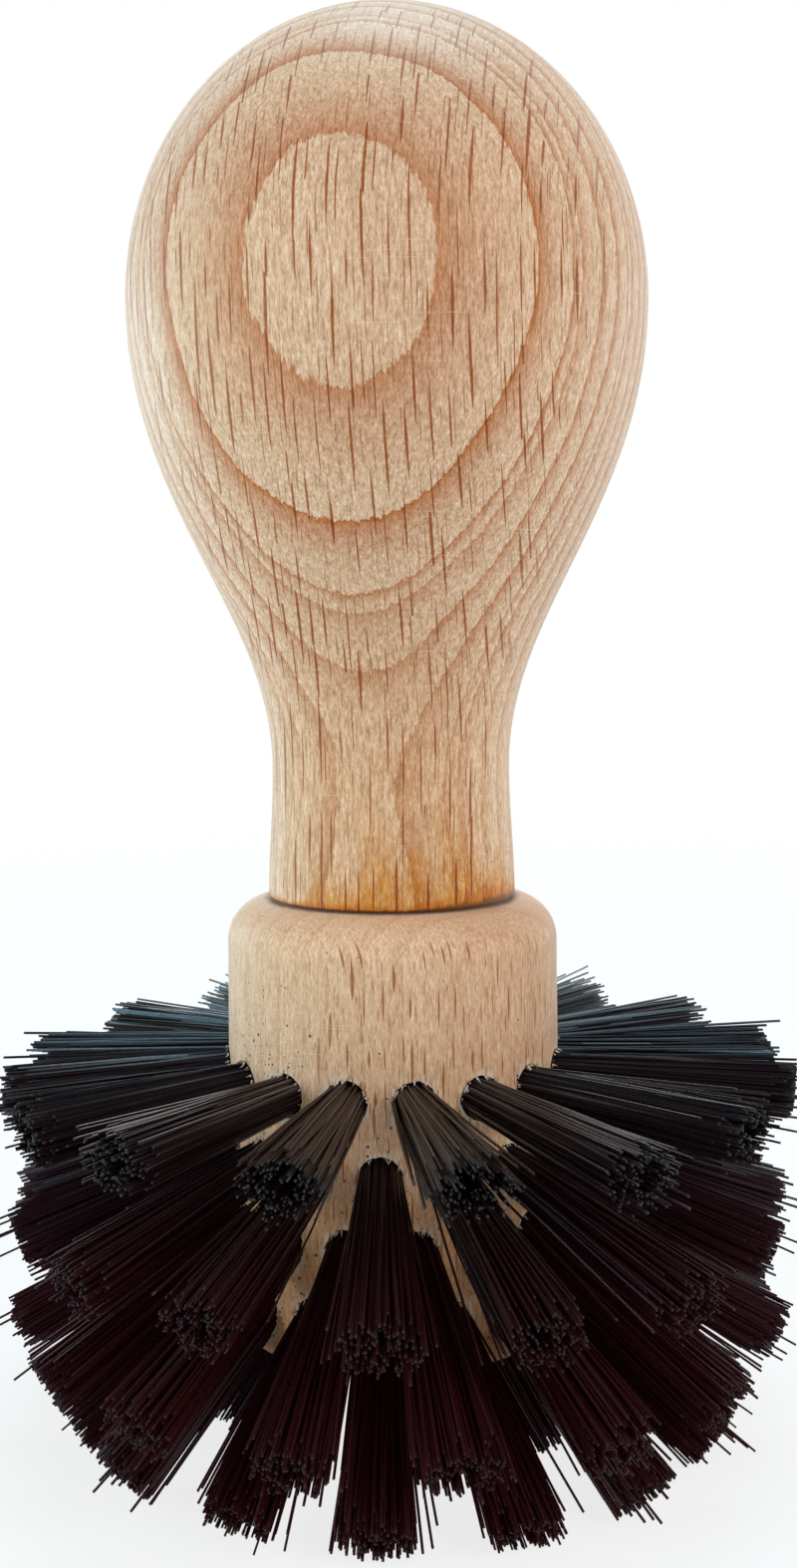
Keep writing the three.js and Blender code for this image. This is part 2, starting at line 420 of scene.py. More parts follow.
@cache
def wood_fibre_group() -> Tree:
    """Make the group for fine fibre and pores, on a place in millimetres with z along the grain.

    Returns:
        A shader group that puts out a streak value round 0.5 and a mask of short pores.
    """
    broad_grain = (4.4, 4.4, 0.7)
    fine_grain = (9.0, 9.0, 2.2)
    pore_grain = (5.2, 5.2, 2.0)
    pore_edge = 0.34
    pore_core = 0.12
    graph = GroupGraph("wood_fibre", TreeKind.SHADER, vectors("Place"), numbers("Streak", "Pore"))
    place = graph.given("Place")[0]
    broad = place.noise(broad_grain, detail=3.0, roughness=0.6)
    fine = place.noise(fine_grain, roughness=0.65)
    distance, draws, _ = (place * pore_grain).cells()
    draw = draws.parts()[0]
    return graph.put_out(broad * 0.5 + fine * 0.5, distance.fade(draw * pore_edge, draw * pore_core))


@cache
def turning_mark_group() -> Tree:
    """Make the group for the faint level scratches that sanding leaves on the lathe.

    Returns:
        A shader group that puts out a mask of long thin lines.
    """
    line_grain = (0.14, 0.14, 9.0)
    softness = 0.1
    patch_grain = 0.12
    patch_edges = (0.42, 0.62)
    inputs = {**vectors("Place"), **numbers("Share")}
    graph = GroupGraph("turning_marks", TreeKind.SHADER, inputs, numbers("Mask"))
    place, share = graph.given(*inputs)
    lines = place.noise(line_grain, detail=1.0).fade(1.0 - share, 1.0 + softness - share)
    return graph.put_out(lines * place.noise(patch_grain, detail=1.0).fade(*patch_edges))


@cache
def coffee_speck_group() -> Tree:
    """Make the group for specks of ground coffee caught in the open grain.

    Returns:
        A shader group that puts out a mask of small round specks.
    """
    least_size = 0.3
    core_share = 0.55
    inputs = {**vectors("Place"), **numbers("Spacing", "Size", "Amount")}
    graph = GroupGraph("coffee_specks", TreeKind.SHADER, inputs, numbers("Mask"))
    place, spacing, size, amount = graph.given(*inputs)
    distance, draws, _ = (place * (1.0 / spacing)).cells()
    draw_size, draw_amount, _ = draws.parts()
    radius = size * (draw_size * draw_size).raised(least_size) * 0.5 / spacing
    return graph.put_out(distance.fade(radius, radius * core_share) * (draw_amount < amount))


@dataclass(frozen=True)
class BeechFinish:
    """Sanded, unvarnished beech. Lengths are millimetres and colours are linear."""

    name: str = "beech"
    early_wood: Colour = (0.650, 0.413, 0.266)
    late_wood: Colour = (0.40, 0.096, 0.008)
    fleck_colour: Colour = (0.46, 0.165, 0.03)
    pore_colour: Colour = (0.80, 0.63, 0.47)
    growth_turn: float = math.radians(10.0)
    front_depth: float = 19.4
    depth_span: float = 44.0
    outer_margin: float = 4.0
    ring_edges: tuple[float, ...] = (1.1, 4.5, 6.9, 7.5, 9.2, 10.8, 12.3, 12.9, 14.6, 16.3, 18.6, 20.1,
                                     22.4, 24.0, 26.5, 28.3, 30.2, 32.4, 34.1, 36.5, 38.9)
    ring_strength: float = 1.0
    calm: Span = (66.0, 52.0)
    calm_share: float = 0.55
    ring_lean: float = 0.008
    lean_height: float = 70.0
    ring_wander: float = 0.5
    wander_grain: Triple = (0.11, 0.11, 0.07)
    ring_fray: float = 0.21
    fray_grain: Triple = (4.0, 4.0, 0.55)
    band_power: float = 2.2
    line_share: float = 0.15
    line_width: float = 0.1
    ring_least: float = 0.65
    patchiness: float = 0.08
    patch_grain: Triple = (0.09, 0.09, 0.05)
    shade_powers: Triple = (0.9, 1.3, 1.75)
    fleck_spacing: Triple = (1.1, 2.6, 8.0)
    fleck_width: float = 0.31
    fleck_length: float = 9.4
    fleck_share: float = 0.95
    fleck_strength: float = 0.97
    fleck_sway: float = 0.175
    sway_grain: Triple = (0.0, 0.06, 0.12)
    fleck_facing: Span = (0.26, 0.62)
    small_shift: Triple = (37.0, 11.0, 23.0)
    small_spacing: Triple = (0.7, 0.6, 0.5)
    small_width: float = 0.5
    small_length: float = 0.45
    small_strength: float = 0.6
    fibre_strength: float = 1.2
    pore_strength: float = 0.5
    mark_share: float = 0.36
    mark_strength: float = 0.32
    roughness: float = 0.5
    specular: float = 0.34
    gloss_tint: Colour = (1.0, 0.85, 0.5)
    sheen: float = 0.24
    sheen_roughness: float = 0.4
    fibre_gloss: float = 0.15
    fleck_gloss: float = -0.06
    mark_gloss: float = 0.08
    bump_strength: float = 0.6
    bump_depth: float = 0.06 * MM
    fibre_relief: float = 0.5
    pore_relief: float = 0.35
    fleck_relief: float = 0.4
    mark_relief: float = 0.2

    def material(self) -> Material:
        """Make the material.

        Returns:
            The finished material.
        """
        graph = Coat(self.name)
        turn = {"Rotation": (0.0, 0.0, self.growth_turn), "Scale": (1.0 / MM,) * 3}
        place = graph.made("ShaderNodeMapping", {"Vector": graph.coordinates(), **turn})
        rings, flecks = self._rings(place), self._flecks(place)
        streak, pore = graph.use(wood_fibre_group(), place)
        marks = graph.use(turning_mark_group(), place, self.mark_share)[0]

        colour = graph.blend(rings, self.early_wood, self.late_wood)
        colour = colour.covered(self.pore_colour, pore * (1.0 - rings) * self.pore_strength)
        patch = place.noise(self.patch_grain).swung(self.patchiness) + 1.0
        shade = (streak.swung(self.fibre_strength) + 1.0) * patch
        colour = colour * graph.xyz(*(shade**power for power in self.shade_powers))
        colour = colour.tinted(self.fleck_colour, flecks * self.fleck_strength)
        colour = colour.covered(self.pore_colour, marks * self.mark_strength)

        height = streak * self.fibre_relief - pore * self.pore_relief
        height = height - flecks * self.fleck_relief - marks * self.mark_relief
        bump = {"Height": height, "Strength": self.bump_strength, "Distance": self.bump_depth}
        matt = streak.swung(self.fibre_gloss) + flecks * self.fleck_gloss + marks * self.mark_gloss
        inputs = {
            "Base Color": self._weather(place, colour),
            "Roughness": matt + self.roughness,
            "Normal": graph.made("ShaderNodeBump", bump),
            "Specular IOR Level": self.specular,
            "Specular Tint": (*self.gloss_tint, 1.0),
            "Sheen Weight": self.sheen,
            "Sheen Roughness": self.sheen_roughness,
        }
        return graph.dress(inputs)

    def _rings(self, place: Field) -> Field:
        """Grade each growth ring from its dark late wood to pale early wood.

        Args:
            place: Place in the wood.

        Returns:
            A mask that is 1 at the dark edge of a ring.
        """
        graph = place.graph
        _, through, height = place.parts()
        wander = place.noise(self.wander_grain, detail=1.0).swung(self.ring_wander)
        fray = place.noise(self.fray_grain).swung(self.ring_fray)
        lean = (height - self.lean_height) * self.ring_lean
        depth = through + self.front_depth - lean + wander + fray
        curve = graph.node("ShaderNodeFloatCurve", {"Value": (depth + self.outer_margin) / self.depth_span})
        count = len(self.ring_edges)
        points = curve.mapping.curves[0].points
        for number, edge in enumerate(self.ring_edges[:-1]):
            points.new((edge + self.outer_margin) / self.depth_span, (number + 1) / count)
        for point in points:
            point.handle_type = "VECTOR"
        curve.mapping.update()
        age = Field(graph, curve.outputs["Value"]) * float(count)
        progress = age.fraction()
        draw = graph.made("ShaderNodeTexWhiteNoise", {"W": age.floor()}, noise_dimensions="1D")
        band = (1.0 - progress) ** self.band_power
        line = progress.fade(self.line_width, 0.0)
        calm = height.fade(*self.calm, 1.0, self.calm_share)
        dark = band * (1.0 - self.line_share) + line * self.line_share
        return dark * draw.raised(self.ring_least) * calm * self.ring_strength

    def _flecks(self, place: Field) -> Field:
        """Lay large and small ray flecks over each other.

        Args:
            place: Place in the wood.

        Returns:
            A mask of both.
        """
        sway = place.noise(self.sway_grain, detail=1.0).swung(self.fleck_sway)
        swayed = place + place.graph.xyz(sway)
        sizes = (self.fleck_width, self.fleck_length, self.fleck_share)
        large = place.graph.use(ray_fleck_group(), swayed, self.fleck_spacing, *sizes)[0]
        spacing = tuple(np.multiply(self.small_spacing, self.fleck_spacing))
        width, length, share = sizes
        sizes = (width * self.small_width, length * self.small_length, share)
        small = place.graph.use(ray_fleck_group(), swayed + self.small_shift, spacing, *sizes)[0]
        # Rays show as flecks only where the surface faces out through the growth rings
        shown = self._faces_rings(place.graph).fade(*self.fleck_facing)
        return large.at_least(small * self.small_strength) * shown

    def _faces_rings(self, graph: Coat) -> Field:
        """Tell how squarely the surface faces out through the growth rings, from 0 to 1."""
        through = (math.sin(self.growth_turn), math.cos(self.growth_turn), 0.0)
        return abs(graph.coordinates("Normal").dot(through))

    def _weather(self, place: Field, colour: Field) -> Field:
        """Add nothing: plain wood has no stains."""
        return colour


@dataclass(frozen=True)
class HandleBeech(BeechFinish):
    """The handle's beech, stained where coffee oil creeps up from the seam."""

    name: str = "handle_beech"
    seam_height: float = 40.3
    # Painted rim light: the sides and crown of the knob are lightened and cooled
    painted_rim_light_colour: Colour = (1.08, 1.17, 1.26)
    painted_rim_light_facing: Span = (0.95, 0.35)
    oiled_colour: Colour = (0.99, 0.95, 0.86)
    oiled: Span = (68.0, 48.0)
    stain_colour: Colour = (0.86, 0.55, 0.09)
    seam_colour: Colour = (0.15, 0.047, 0.006)
    stain_reach: float = 12.0
    stain_side: float = 3.0
    stain_half_width: float = 8.5
    stain_grain: Triple = (0.55, 0.55, 0.1)
    stain_patches: Span = (0.32, 0.66)
    stain_low: float = 0.3
    stain_bell: float = 0.1
    stain_least: float = 0.5
    stain_full: float = 0.2
    mottle_grain: Triple = (1.6, 1.6, 0.8)
    mottle_patches: Span = (0.3, 0.62)
    mottle_low: float = 0.45
    seam_line: float = 0.8
    seam_grain: Triple = (1.3, 1.3, 0.5)
    seam_side: Span = (2.0, 9.0)
    seam_widths: Span = (0.5, 1.5)
    seam_fray: float = 1.5
    seam_gaps: float = 0.05
    seam_halo: float = 2.6
    seam_core: float = 0.6
    seam_strength: float = 0.9
    smear_height: float = 2.6
    smear_core: float = 0.6
    smear_grain: Triple = (1.1, 1.1, 2.6)
    smear_patches: Span = (0.56, 0.7)
    smear_side: Span = (4.0, 7.0)
    smear_strength: float = 0.6
    speck_spacing: float = 0.9
    speck_size: float = 0.42
    speck_rise: float = 12.0
    speck_share: float = 0.1
    speck_strength: float = 0.85

    def _weather(self, place: Field, colour: Field) -> Field:
        """Paint a paler, cooler rim light on the sides and crown, yellow the neck where it is held and stain
        its foot, most at the seam.

        Args:
            place: Place in the wood.
            colour: Colour of the clean wood.

        Returns:
            The stained colour.
        """
        # Painted rim light on the faces that lie along the growth rings
        painted_rim_light = self._faces_rings(place.graph).fade(*self.painted_rim_light_facing)
        colour = colour.tinted(self.painted_rim_light_colour, painted_rim_light)
        side, _, height = place.parts()
        above = height - self.seam_height
        colour = colour.tinted(self.oiled_colour, height.fade(*self.oiled))
        uneven = place.noise(self.stain_grain, detail=3.0, roughness=0.65)
        aside = (side - self.stain_side) / self.stain_half_width
        bell = (1.0 - aside * aside).at_least(self.stain_bell)
        reach = bell * uneven.fade(*self.stain_patches, self.stain_low) * self.stain_reach
        mottle = place.noise(self.mottle_grain, detail=4.0, roughness=0.7)
        mottle = mottle.fade(*self.mottle_patches, self.mottle_low)
        stain = above.fade(reach.at_least(self.stain_least), self.stain_full) * mottle
        colour = colour.tinted(self.stain_colour, stain)
        smears = place.noise(self.smear_grain, detail=3.0, roughness=0.7).fade(*self.smear_patches)
        smears = smears * abs(above - self.smear_height).fade(self.smear_height, self.smear_core)
        smears = smears * side.fade(*self.smear_side) * self.smear_strength
        colour = colour.covered(self.seam_colour, smears)
        ragged = place.noise(self.seam_grain, detail=3.0, roughness=0.75) * self.seam_fray - self.seam_gaps
        width = side.fade(*self.seam_side, *self.seam_widths) * ragged * self.seam_line
        core = width * self.seam_core
        colour = colour.tinted(self.stain_colour, above.fade(width * self.seam_halo, core))
        colour = colour.covered(self.seam_colour, above.fade(width, core) * self.seam_strength)
        amount = above.fade(self.speck_rise, 0.0, top=self.speck_share)
        sizes = (self.speck_spacing, self.speck_size, amount)
        specks = place.graph.use(coffee_speck_group(), place, *sizes)[0]
        return colour.covered(self.seam_colour, specks * self.speck_strength)


@dataclass(frozen=True)
class HeadBeech(BeechFinish):
    """The head's paler beech, with coffee stain and painted shade between the tufts and torn fibre round the
    holes.
    """

    name: str = "head_beech"
    early_wood: Colour = (0.71, 0.455, 0.29)
    late_wood: Colour = (0.585, 0.325, 0.18)
    fleck_colour: Colour = (0.48, 0.23, 0.10)
    growth_turn: float = math.radians(-37.0)
    front_depth: float = 14.0
    lean_height: float = 24.0
    ring_strength: float = 1.1
    ring_edges: tuple[float, ...] = (1.5, 3.4, 5.1, 7.2, 8.8, 11.0, 12.7, 14.5, 16.9, 18.4, 20.6, 22.3,
                                     24.8, 26.4, 28.6)
    depth_span: float = 36.0
    fleck_spacing: Triple = (1.05, 1.8, 3.6)
    fleck_width: float = 0.26
    fleck_length: float = 4.0
    fleck_share: float = 0.85
    fleck_strength: float = 0.92
    fleck_drop: Span = (0.5, 2.2)
    fibre_strength: float = 0.9
    speck_colour: Colour = (0.035, 0.014, 0.008)
    # Darkens the wood low between the tufts: partly coffee stain, partly painted shade
    stain_colour: Colour = (0.92, 0.50, 0.18)
    stain: Span = (31.0, 14.0)
    stain_and_shade_strength: float = 0.5
    stain_grain: Triple = (0.3, 0.3, 0.15)
    stain_swing: float = 3.0
    right_side_tint: Colour = (0.88, 0.81, 0.76)
    right_side: Span = (2.0, 11.5)
    torn_colour: Colour = (0.78, 0.68, 0.56)
    torn_grain: Triple = (4.0, 4.0, 1.0)
    torn_patches: Span = (0.42, 0.6)
    dirt_patches: Span = (0.46, 0.32)
    torn_strength: float = 0.8
    torn_dirt: float = 0.7
    seam_colour: Colour = (0.12, 0.036, 0.006)
    smear_width: float = 1.1
    smear_drop: float = 1.0
    smear_grain: float = 1.1
    smear_strength: float = 0.85
    crumb_side: Span = (-4.5, -9.5)
    crumb_height: Span = (37.0, 28.5)
    fine_specks: tuple[float, ...] = (0.38, 0.25, 0.95, 0.4, 0.01)
    coarse_specks: tuple[float, ...] = (0.6, 0.38, 0.25, 0.8, 0.008)
    speck_strength: float = 0.9
    collar_top: float = 40.3
    neck_radius: float = NECK_RADIUS / MM

    def _flecks(self, place: Field) -> Field:
        """Lay flecks on the upright wall alone."""
        wall = place.parts()[2].fade(*(self.collar_top - drop for drop in self.fleck_drop))
        return super()._flecks(place) * wall

    def _weather(self, place: Field, colour: Field) -> Field:
        """Darken towards the right side, stain and paint shade on the wood between the tufts, scatter coffee
        and bleach the torn rims.

        Args:
            place: Place in the wood.
            colour: Colour of the clean wood.

        Returns:
            The weathered colour.
        """
        graph = place.graph
        side, deep, height = graph.place().parts()
        # Darker towards the right side
        colour = colour.tinted(self.right_side_tint, side.fade(*self.right_side))
        # Darker and warmer towards the bottom between the tufts, partly coffee stain and partly painted
        # shade
        uneven = place.noise(self.stain_grain).swung(self.stain_swing)
        low = (height + uneven).fade(*self.stain)
        colour = colour.tinted(self.stain_colour, low * self.stain_and_shade_strength)
        rim = graph.kept("torn")
        ragged = place.noise(self.torn_grain)
        colour = colour.covered(self.torn_colour, rim * ragged.fade(*self.torn_patches) * self.torn_strength)
        colour = colour.covered(self.speck_colour, rim * ragged.fade(*self.dirt_patches) * self.torn_dirt)
        smeared = self.neck_radius + self.smear_width * place.noise(self.smear_grain, detail=3.0)
        smear = graph.xyz(side, deep).length().fade(smeared, self.neck_radius)
        smear = smear * height.fade(self.collar_top - self.smear_drop, self.collar_top)
        colour = colour.covered(self.seam_colour, smear * self.smear_strength)
        crumbs = side.fade(*self.crumb_side) * height.fade(*self.crumb_height)
        for spacing, size, in_crumbs, low_down, anywhere in (self.fine_specks, self.coarse_specks):
            amount = crumbs * in_crumbs + low * low_down + anywhere
            specks = graph.use(coffee_speck_group(), place, spacing, size, amount)[0]
            colour = colour.covered(self.speck_colour, specks * self.speck_strength)
        return colour


@dataclass(frozen=True)
class TornFinish:
    """Raw fibre torn up by the drill, pale where it is clean and brown where coffee has caught in it."""

    name: str = "torn_fibre"
    clean: Colour = (0.74, 0.63, 0.50)
    stained: Colour = (0.20, 0.10, 0.05)
    stain: Span = (0.55, 0.9)
    mottle_grain: float = 3.0
    mottle_swing: float = 0.25
    mottle_gloss: float = 0.2
    roughness: float = 0.8

    def material(self) -> Material:
        """Make the material, which reads the tone of each fibre.

        Returns:
            The finished material.
        """
        graph = Coat(self.name)
        mottle = graph.place().noise(self.mottle_grain)
        stained = (graph.kept("tone") + mottle.swung(self.mottle_swing)).fade(*self.stain)
        colour = graph.blend(stained, self.clean, self.stained)
        matt = mottle * self.mottle_gloss + self.roughness
        return graph.dress({"Base Color": colour, "Roughness": matt})


@dataclass(frozen=True)
class FilamentFinish:
    """Straight black filament with paler cut ends; teal at the back and sides from dust and a painted sheen,
    brown in front from coffee and a painted warm reflection, dark red below from coffee and a painted shade
    tone.
    """

    name: str = "black_filament"
    black: Colour = (0.0105, 0.0040, 0.0050)
    soaked_and_shaded: Colour = (0.032, 0.0050, 0.0063)
    dust_and_sheen_colour: Colour = (0.24, 0.355, 0.43)
    browned: Colour = (0.32, 0.25, 0.23)
    cut_end: Colour = (0.042, 0.044, 0.045)
    soak_and_shade: Span = (27.0, 12.0)
    soak_and_shade_swing: float = 2.0
    scuff_grain: float = 2.2
    brown: Span = (2.0, -14.0)
    brown_power: float = 1.1
    tip_fade: Span = (0.35, 0.85)
    tip_fade_strength: float = 0.8
    end_starts: float = 0.986
    bare_patches: Span = (0.35, 0.6)
    soaked_and_shaded_end: float = 0.5
    tone_gloss: float = -0.1
    scuff_gloss: float = 0.1
    end_gloss: float = 0.25
    roughness: float = 0.34
    specular: float = 0.34
    gloss_tint: Colour = (0.06, 0.14, 0.18)

    def material(self) -> Material:
        """Make the material, which reads each filament's own tone and the reach along it.

        Returns:
            The finished material.
        """
        graph = Coat(self.name)
        tone, reach, place = graph.kept("tone"), graph.kept("reach"), graph.place()
        scuffs = place.noise(self.scuff_grain)
        _, deep, height = place.parts()
        # Lower down the strands turn dark red, partly coffee soaked in and partly a painted reddish shade
        # tone
        soak_and_shade = (height + scuffs.swung(self.soak_and_shade_swing)).fade(*self.soak_and_shade)
        # In front the strands turn brown, partly coffee and partly a painted warm reflection
        front = deep.fade(*self.brown)
        # In front the dust and painted sheen thin out towards the ends, painting the tufts lighter near the
        # root
        faded_at_tips = front * reach.fade(*self.tip_fade) * self.tip_fade_strength
        dust_and_sheen_share = tone ** (front * self.brown_power + 1.0) * (scuffs + 0.5) * (1.0 - faded_at_tips)
        colour = graph.blend(soak_and_shade, self.black, self.soaked_and_shaded)
        # Strands get a teal colour at the back and sides, partly dust and partly painted sheen, and a brown
        # in front
        colour = colour.covered(graph.blend(front, self.dust_and_sheen_colour, self.browned), dust_and_sheen_share)
        end = reach.fade(self.end_starts, 1.0)
        bare_end = end * scuffs.fade(*self.bare_patches) * (1.0 - soak_and_shade * self.soaked_and_shaded_end)
        matt = tone * self.tone_gloss + scuffs * self.scuff_gloss + end * self.end_gloss
        inputs = {
            "Base Color": colour.covered(self.cut_end, bare_end),
            "Roughness": matt + self.roughness,
            "Specular IOR Level": self.specular,
            "Specular Tint": (*self.gloss_tint, 1.0),
        }
        return graph.dress(inputs)


@dataclass(frozen=True)
class SteelFinish:
    """Flat drawn wire with fine lengthwise marks."""

    name: str = "staple_steel"
    bright: Colour = (0.60, 0.61, 0.62)
    dull: Colour = (0.34, 0.33, 0.32)
    roughness: float = 0.34
    mark_grain: Triple = (2.0, 2.0, 24.0)
    mark_strength: float = 0.3
    mark_depth: float = 0.01 * MM
    mark_gloss: float = 0.2
    dull_grain: float = 1.5
    dull_patches: Span = (0.45, 0.7)
    dull_strength: float = 0.6
    dull_gloss: float = 0.2

    def material(self) -> Material:
        """Make the material with drawn marks in colour, roughness and height.

        Returns:
            The finished material.
        """
        graph = Coat(self.name)
        drawn = graph.place().noise(self.mark_grain, detail=3.0)
        dulled = graph.place().noise(self.dull_grain).fade(*self.dull_patches)
        bump = {"Height": drawn, "Strength": self.mark_strength, "Distance": self.mark_depth}
        inputs = {
            "Base Color": graph.blend(dulled * self.dull_strength, self.bright, self.dull),
            "Metallic": 1.0,
            "Roughness": drawn * self.mark_gloss + dulled * self.dull_gloss + self.roughness,
            "Normal": graph.made("ShaderNodeBump", bump),
        }
        return graph.dress(inputs)


@dataclass(frozen=True)
class TuftRing:
    """One ring of tufts. Lengths are metres and angles are radians."""

    name: str
    tufts: int
    first_angle: float
    ring_radius: float
    ring_height: float
    tilt: float
    root_depth: float
    free_length: float
    seed: int
    # Share of strands that carry dust and painted sheen
    dullness: float = 0.06
    replaced: tuple[str, ...] = ()

    def axes(self) -> tuple[np.ndarray, np.ndarray]:
        """Work out where each tuft leaves the wood and which way it points.

        Returns:
            The mouths and the directions, one row for each tuft.
        """
        angles = self.first_angle + np.arange(self.tufts) * (2.0 * math.pi / self.tufts)
        outward = np.stack([np.sin(angles), -np.cos(angles), np.zeros(self.tufts)], axis=1)
        up = np.array([0.0, 0.0, 1.0])
        mouths = outward * self.ring_radius + up * self.ring_height
        return mouths, outward * math.cos(self.tilt) - up * math.sin(self.tilt)


PLACE_PORTS = {"Tufts": SocketKind.WHOLE, **numbers("First angle", "Ring radius", "Ring height", "Tilt")}


@cache
def tuft_place_group() -> Tree:
    """Make the group that places one tuft of a ring by its number.

    Returns:
        A geometry group that puts out the tuft's mouth, its axis, and the directions across and along it.
    """
    inputs = {**numbers("Number"), **PLACE_PORTS}
    graph = GroupGraph("tuft_place", TreeKind.GEOMETRY, inputs, vectors("Mouth", "Axis", "Across", "Along"))
    number, tufts, first, radius, height, tilt = graph.given(*inputs)
    angle = first + number * (2.0 * math.pi / tufts)
    sine, cosine = angle.sine(), angle.cosine()
    outward = graph.xyz(sine, cosine * -1.0)
    across = graph.xyz(cosine, sine)
    axis = outward * tilt.cosine() + graph.xyz(z=tilt.sine() * -1.0)
    mouth = outward * radius + graph.xyz(z=height)
    return graph.put_out(mouth, axis, across, across.cross(axis))


class TreeGraph(GroupGraph):
    """A geometry tree for rings of tufts. Its inputs are named after fields of a ring and of a piece."""

    def __init__(self, name: str, sizes: Ports, takes_mesh: bool = False) -> None:
        """Make an empty tree.

        Args:
            name: The tree's name.
            sizes: The sizes that the tree takes beside the ring's place.
            takes_mesh: Whether the tree works on a mesh that it is given.
        """
        mesh = {"Geometry": SocketKind.GEOMETRY}
        inputs = {**(mesh if takes_mesh else {}), **PLACE_PORTS, "Seed": SocketKind.WHOLE, **sizes}
        super().__init__(name, TreeKind.GEOMETRY, {**inputs, "Material": SocketKind.MATERIAL}, mesh)
        self.tree.is_modifier = True

    def index(self) -> Field:
        """Take the number of each point."""
        return self.made("GeometryNodeInputIndex")

    def position(self) -> Field:
        """Take the position of each point."""
        return self.made("GeometryNodeInputPosition")

    def tuft(self, number: Operand) -> list[Field]:
        """Place one tuft of the ring by its number. Give its mouth, its axis, and across and along it."""
        return self.use(tuft_place_group(), number, *self.given(*PLACE_PORTS))

    def draw(self, salt: int, low: float = 0.0, high: float = 1.0, by: Optional[Field] = None) -> Field:
        """Draw a random number for each point.

        Args:
            salt: Added to the ring's seed, so that each use draws its own numbers.
            low: The lowest number.
            high: The highest number.
            by: What the draw goes by, in place of the point's own number.

        Returns:
            The drawn number.
        """
        inputs = {"Seed": self.given("Seed")[0] + float(salt), **dict(zip(RANDOM_LIMITS, (low, high)))}
        if by is not None:
            inputs["ID"] = by
        return self.made("FunctionNodeRandomValue", inputs, RANDOM_RESULT, data_type="FLOAT")

    def points(self, count: Field, position: Field) -> Field:
        """Make points at places that may depend on each point's number."""
        return self.made("GeometryNodePoints", {"Count": count, "Position": position})

    def store(self, geometry: Field, name: str, value: Field) -> Field:
        """Keep a number or vector on each point, for materials or later nodes to read.

        Args:
            geometry: The points.
            name: The name to keep it under.
            value: The number or vector.

        Returns:
            The points with what they keep.
        """
        inputs = {"Geometry": geometry, "Name": name, "Value": value}
        data_type = "FLOAT_VECTOR" if is_vector(value) else "FLOAT"
        return self.made("GeometryNodeStoreNamedAttribute", inputs, data_type=data_type, domain="POINT")

    def kept(self, name: str, data_type: str = "FLOAT") -> Field:
        """Read back a number or vector that was kept under a name."""
        return self.made("GeometryNodeInputNamedAttribute", {"Name": name}, data_type=data_type)

    def facing(self, direction: Field) -> Field:
        """Turn the z axis of an instance to a direction."""
        return self.made("FunctionNodeAlignRotationToVector", {"Vector": direction}, axis="Z")

    def copies(self, points: Field, shape: Field, turn: Field, scale: Operand = (1.0, 1.0, 1.0)) -> Field:
        """Put a copy of a shape on each point."""
        inputs = {"Points": points, "Instance": shape, "Rotation": turn, "Scale": scale}
        return self.made("GeometryNodeInstanceOnPoints", inputs)

    def real(self, copies: Field) -> Field:
        """Turn copies into a plain mesh."""
        return self.made("GeometryNodeRealizeInstances", {"Geometry": copies})

    def moved(self, geometry: Field, offset: Field) -> Field:
        """Move each point by an offset."""
        return self.made("GeometryNodeSetPosition", {"Geometry": geometry, "Offset": offset})

    def finish(self, mesh: Field) -> Tree:
        """Set the material and finish the tree."""
        inputs = {"Geometry": mesh, "Material": self.given("Material")[0]}
        return self.put_out(self.made("GeometryNodeSetMaterial", inputs))


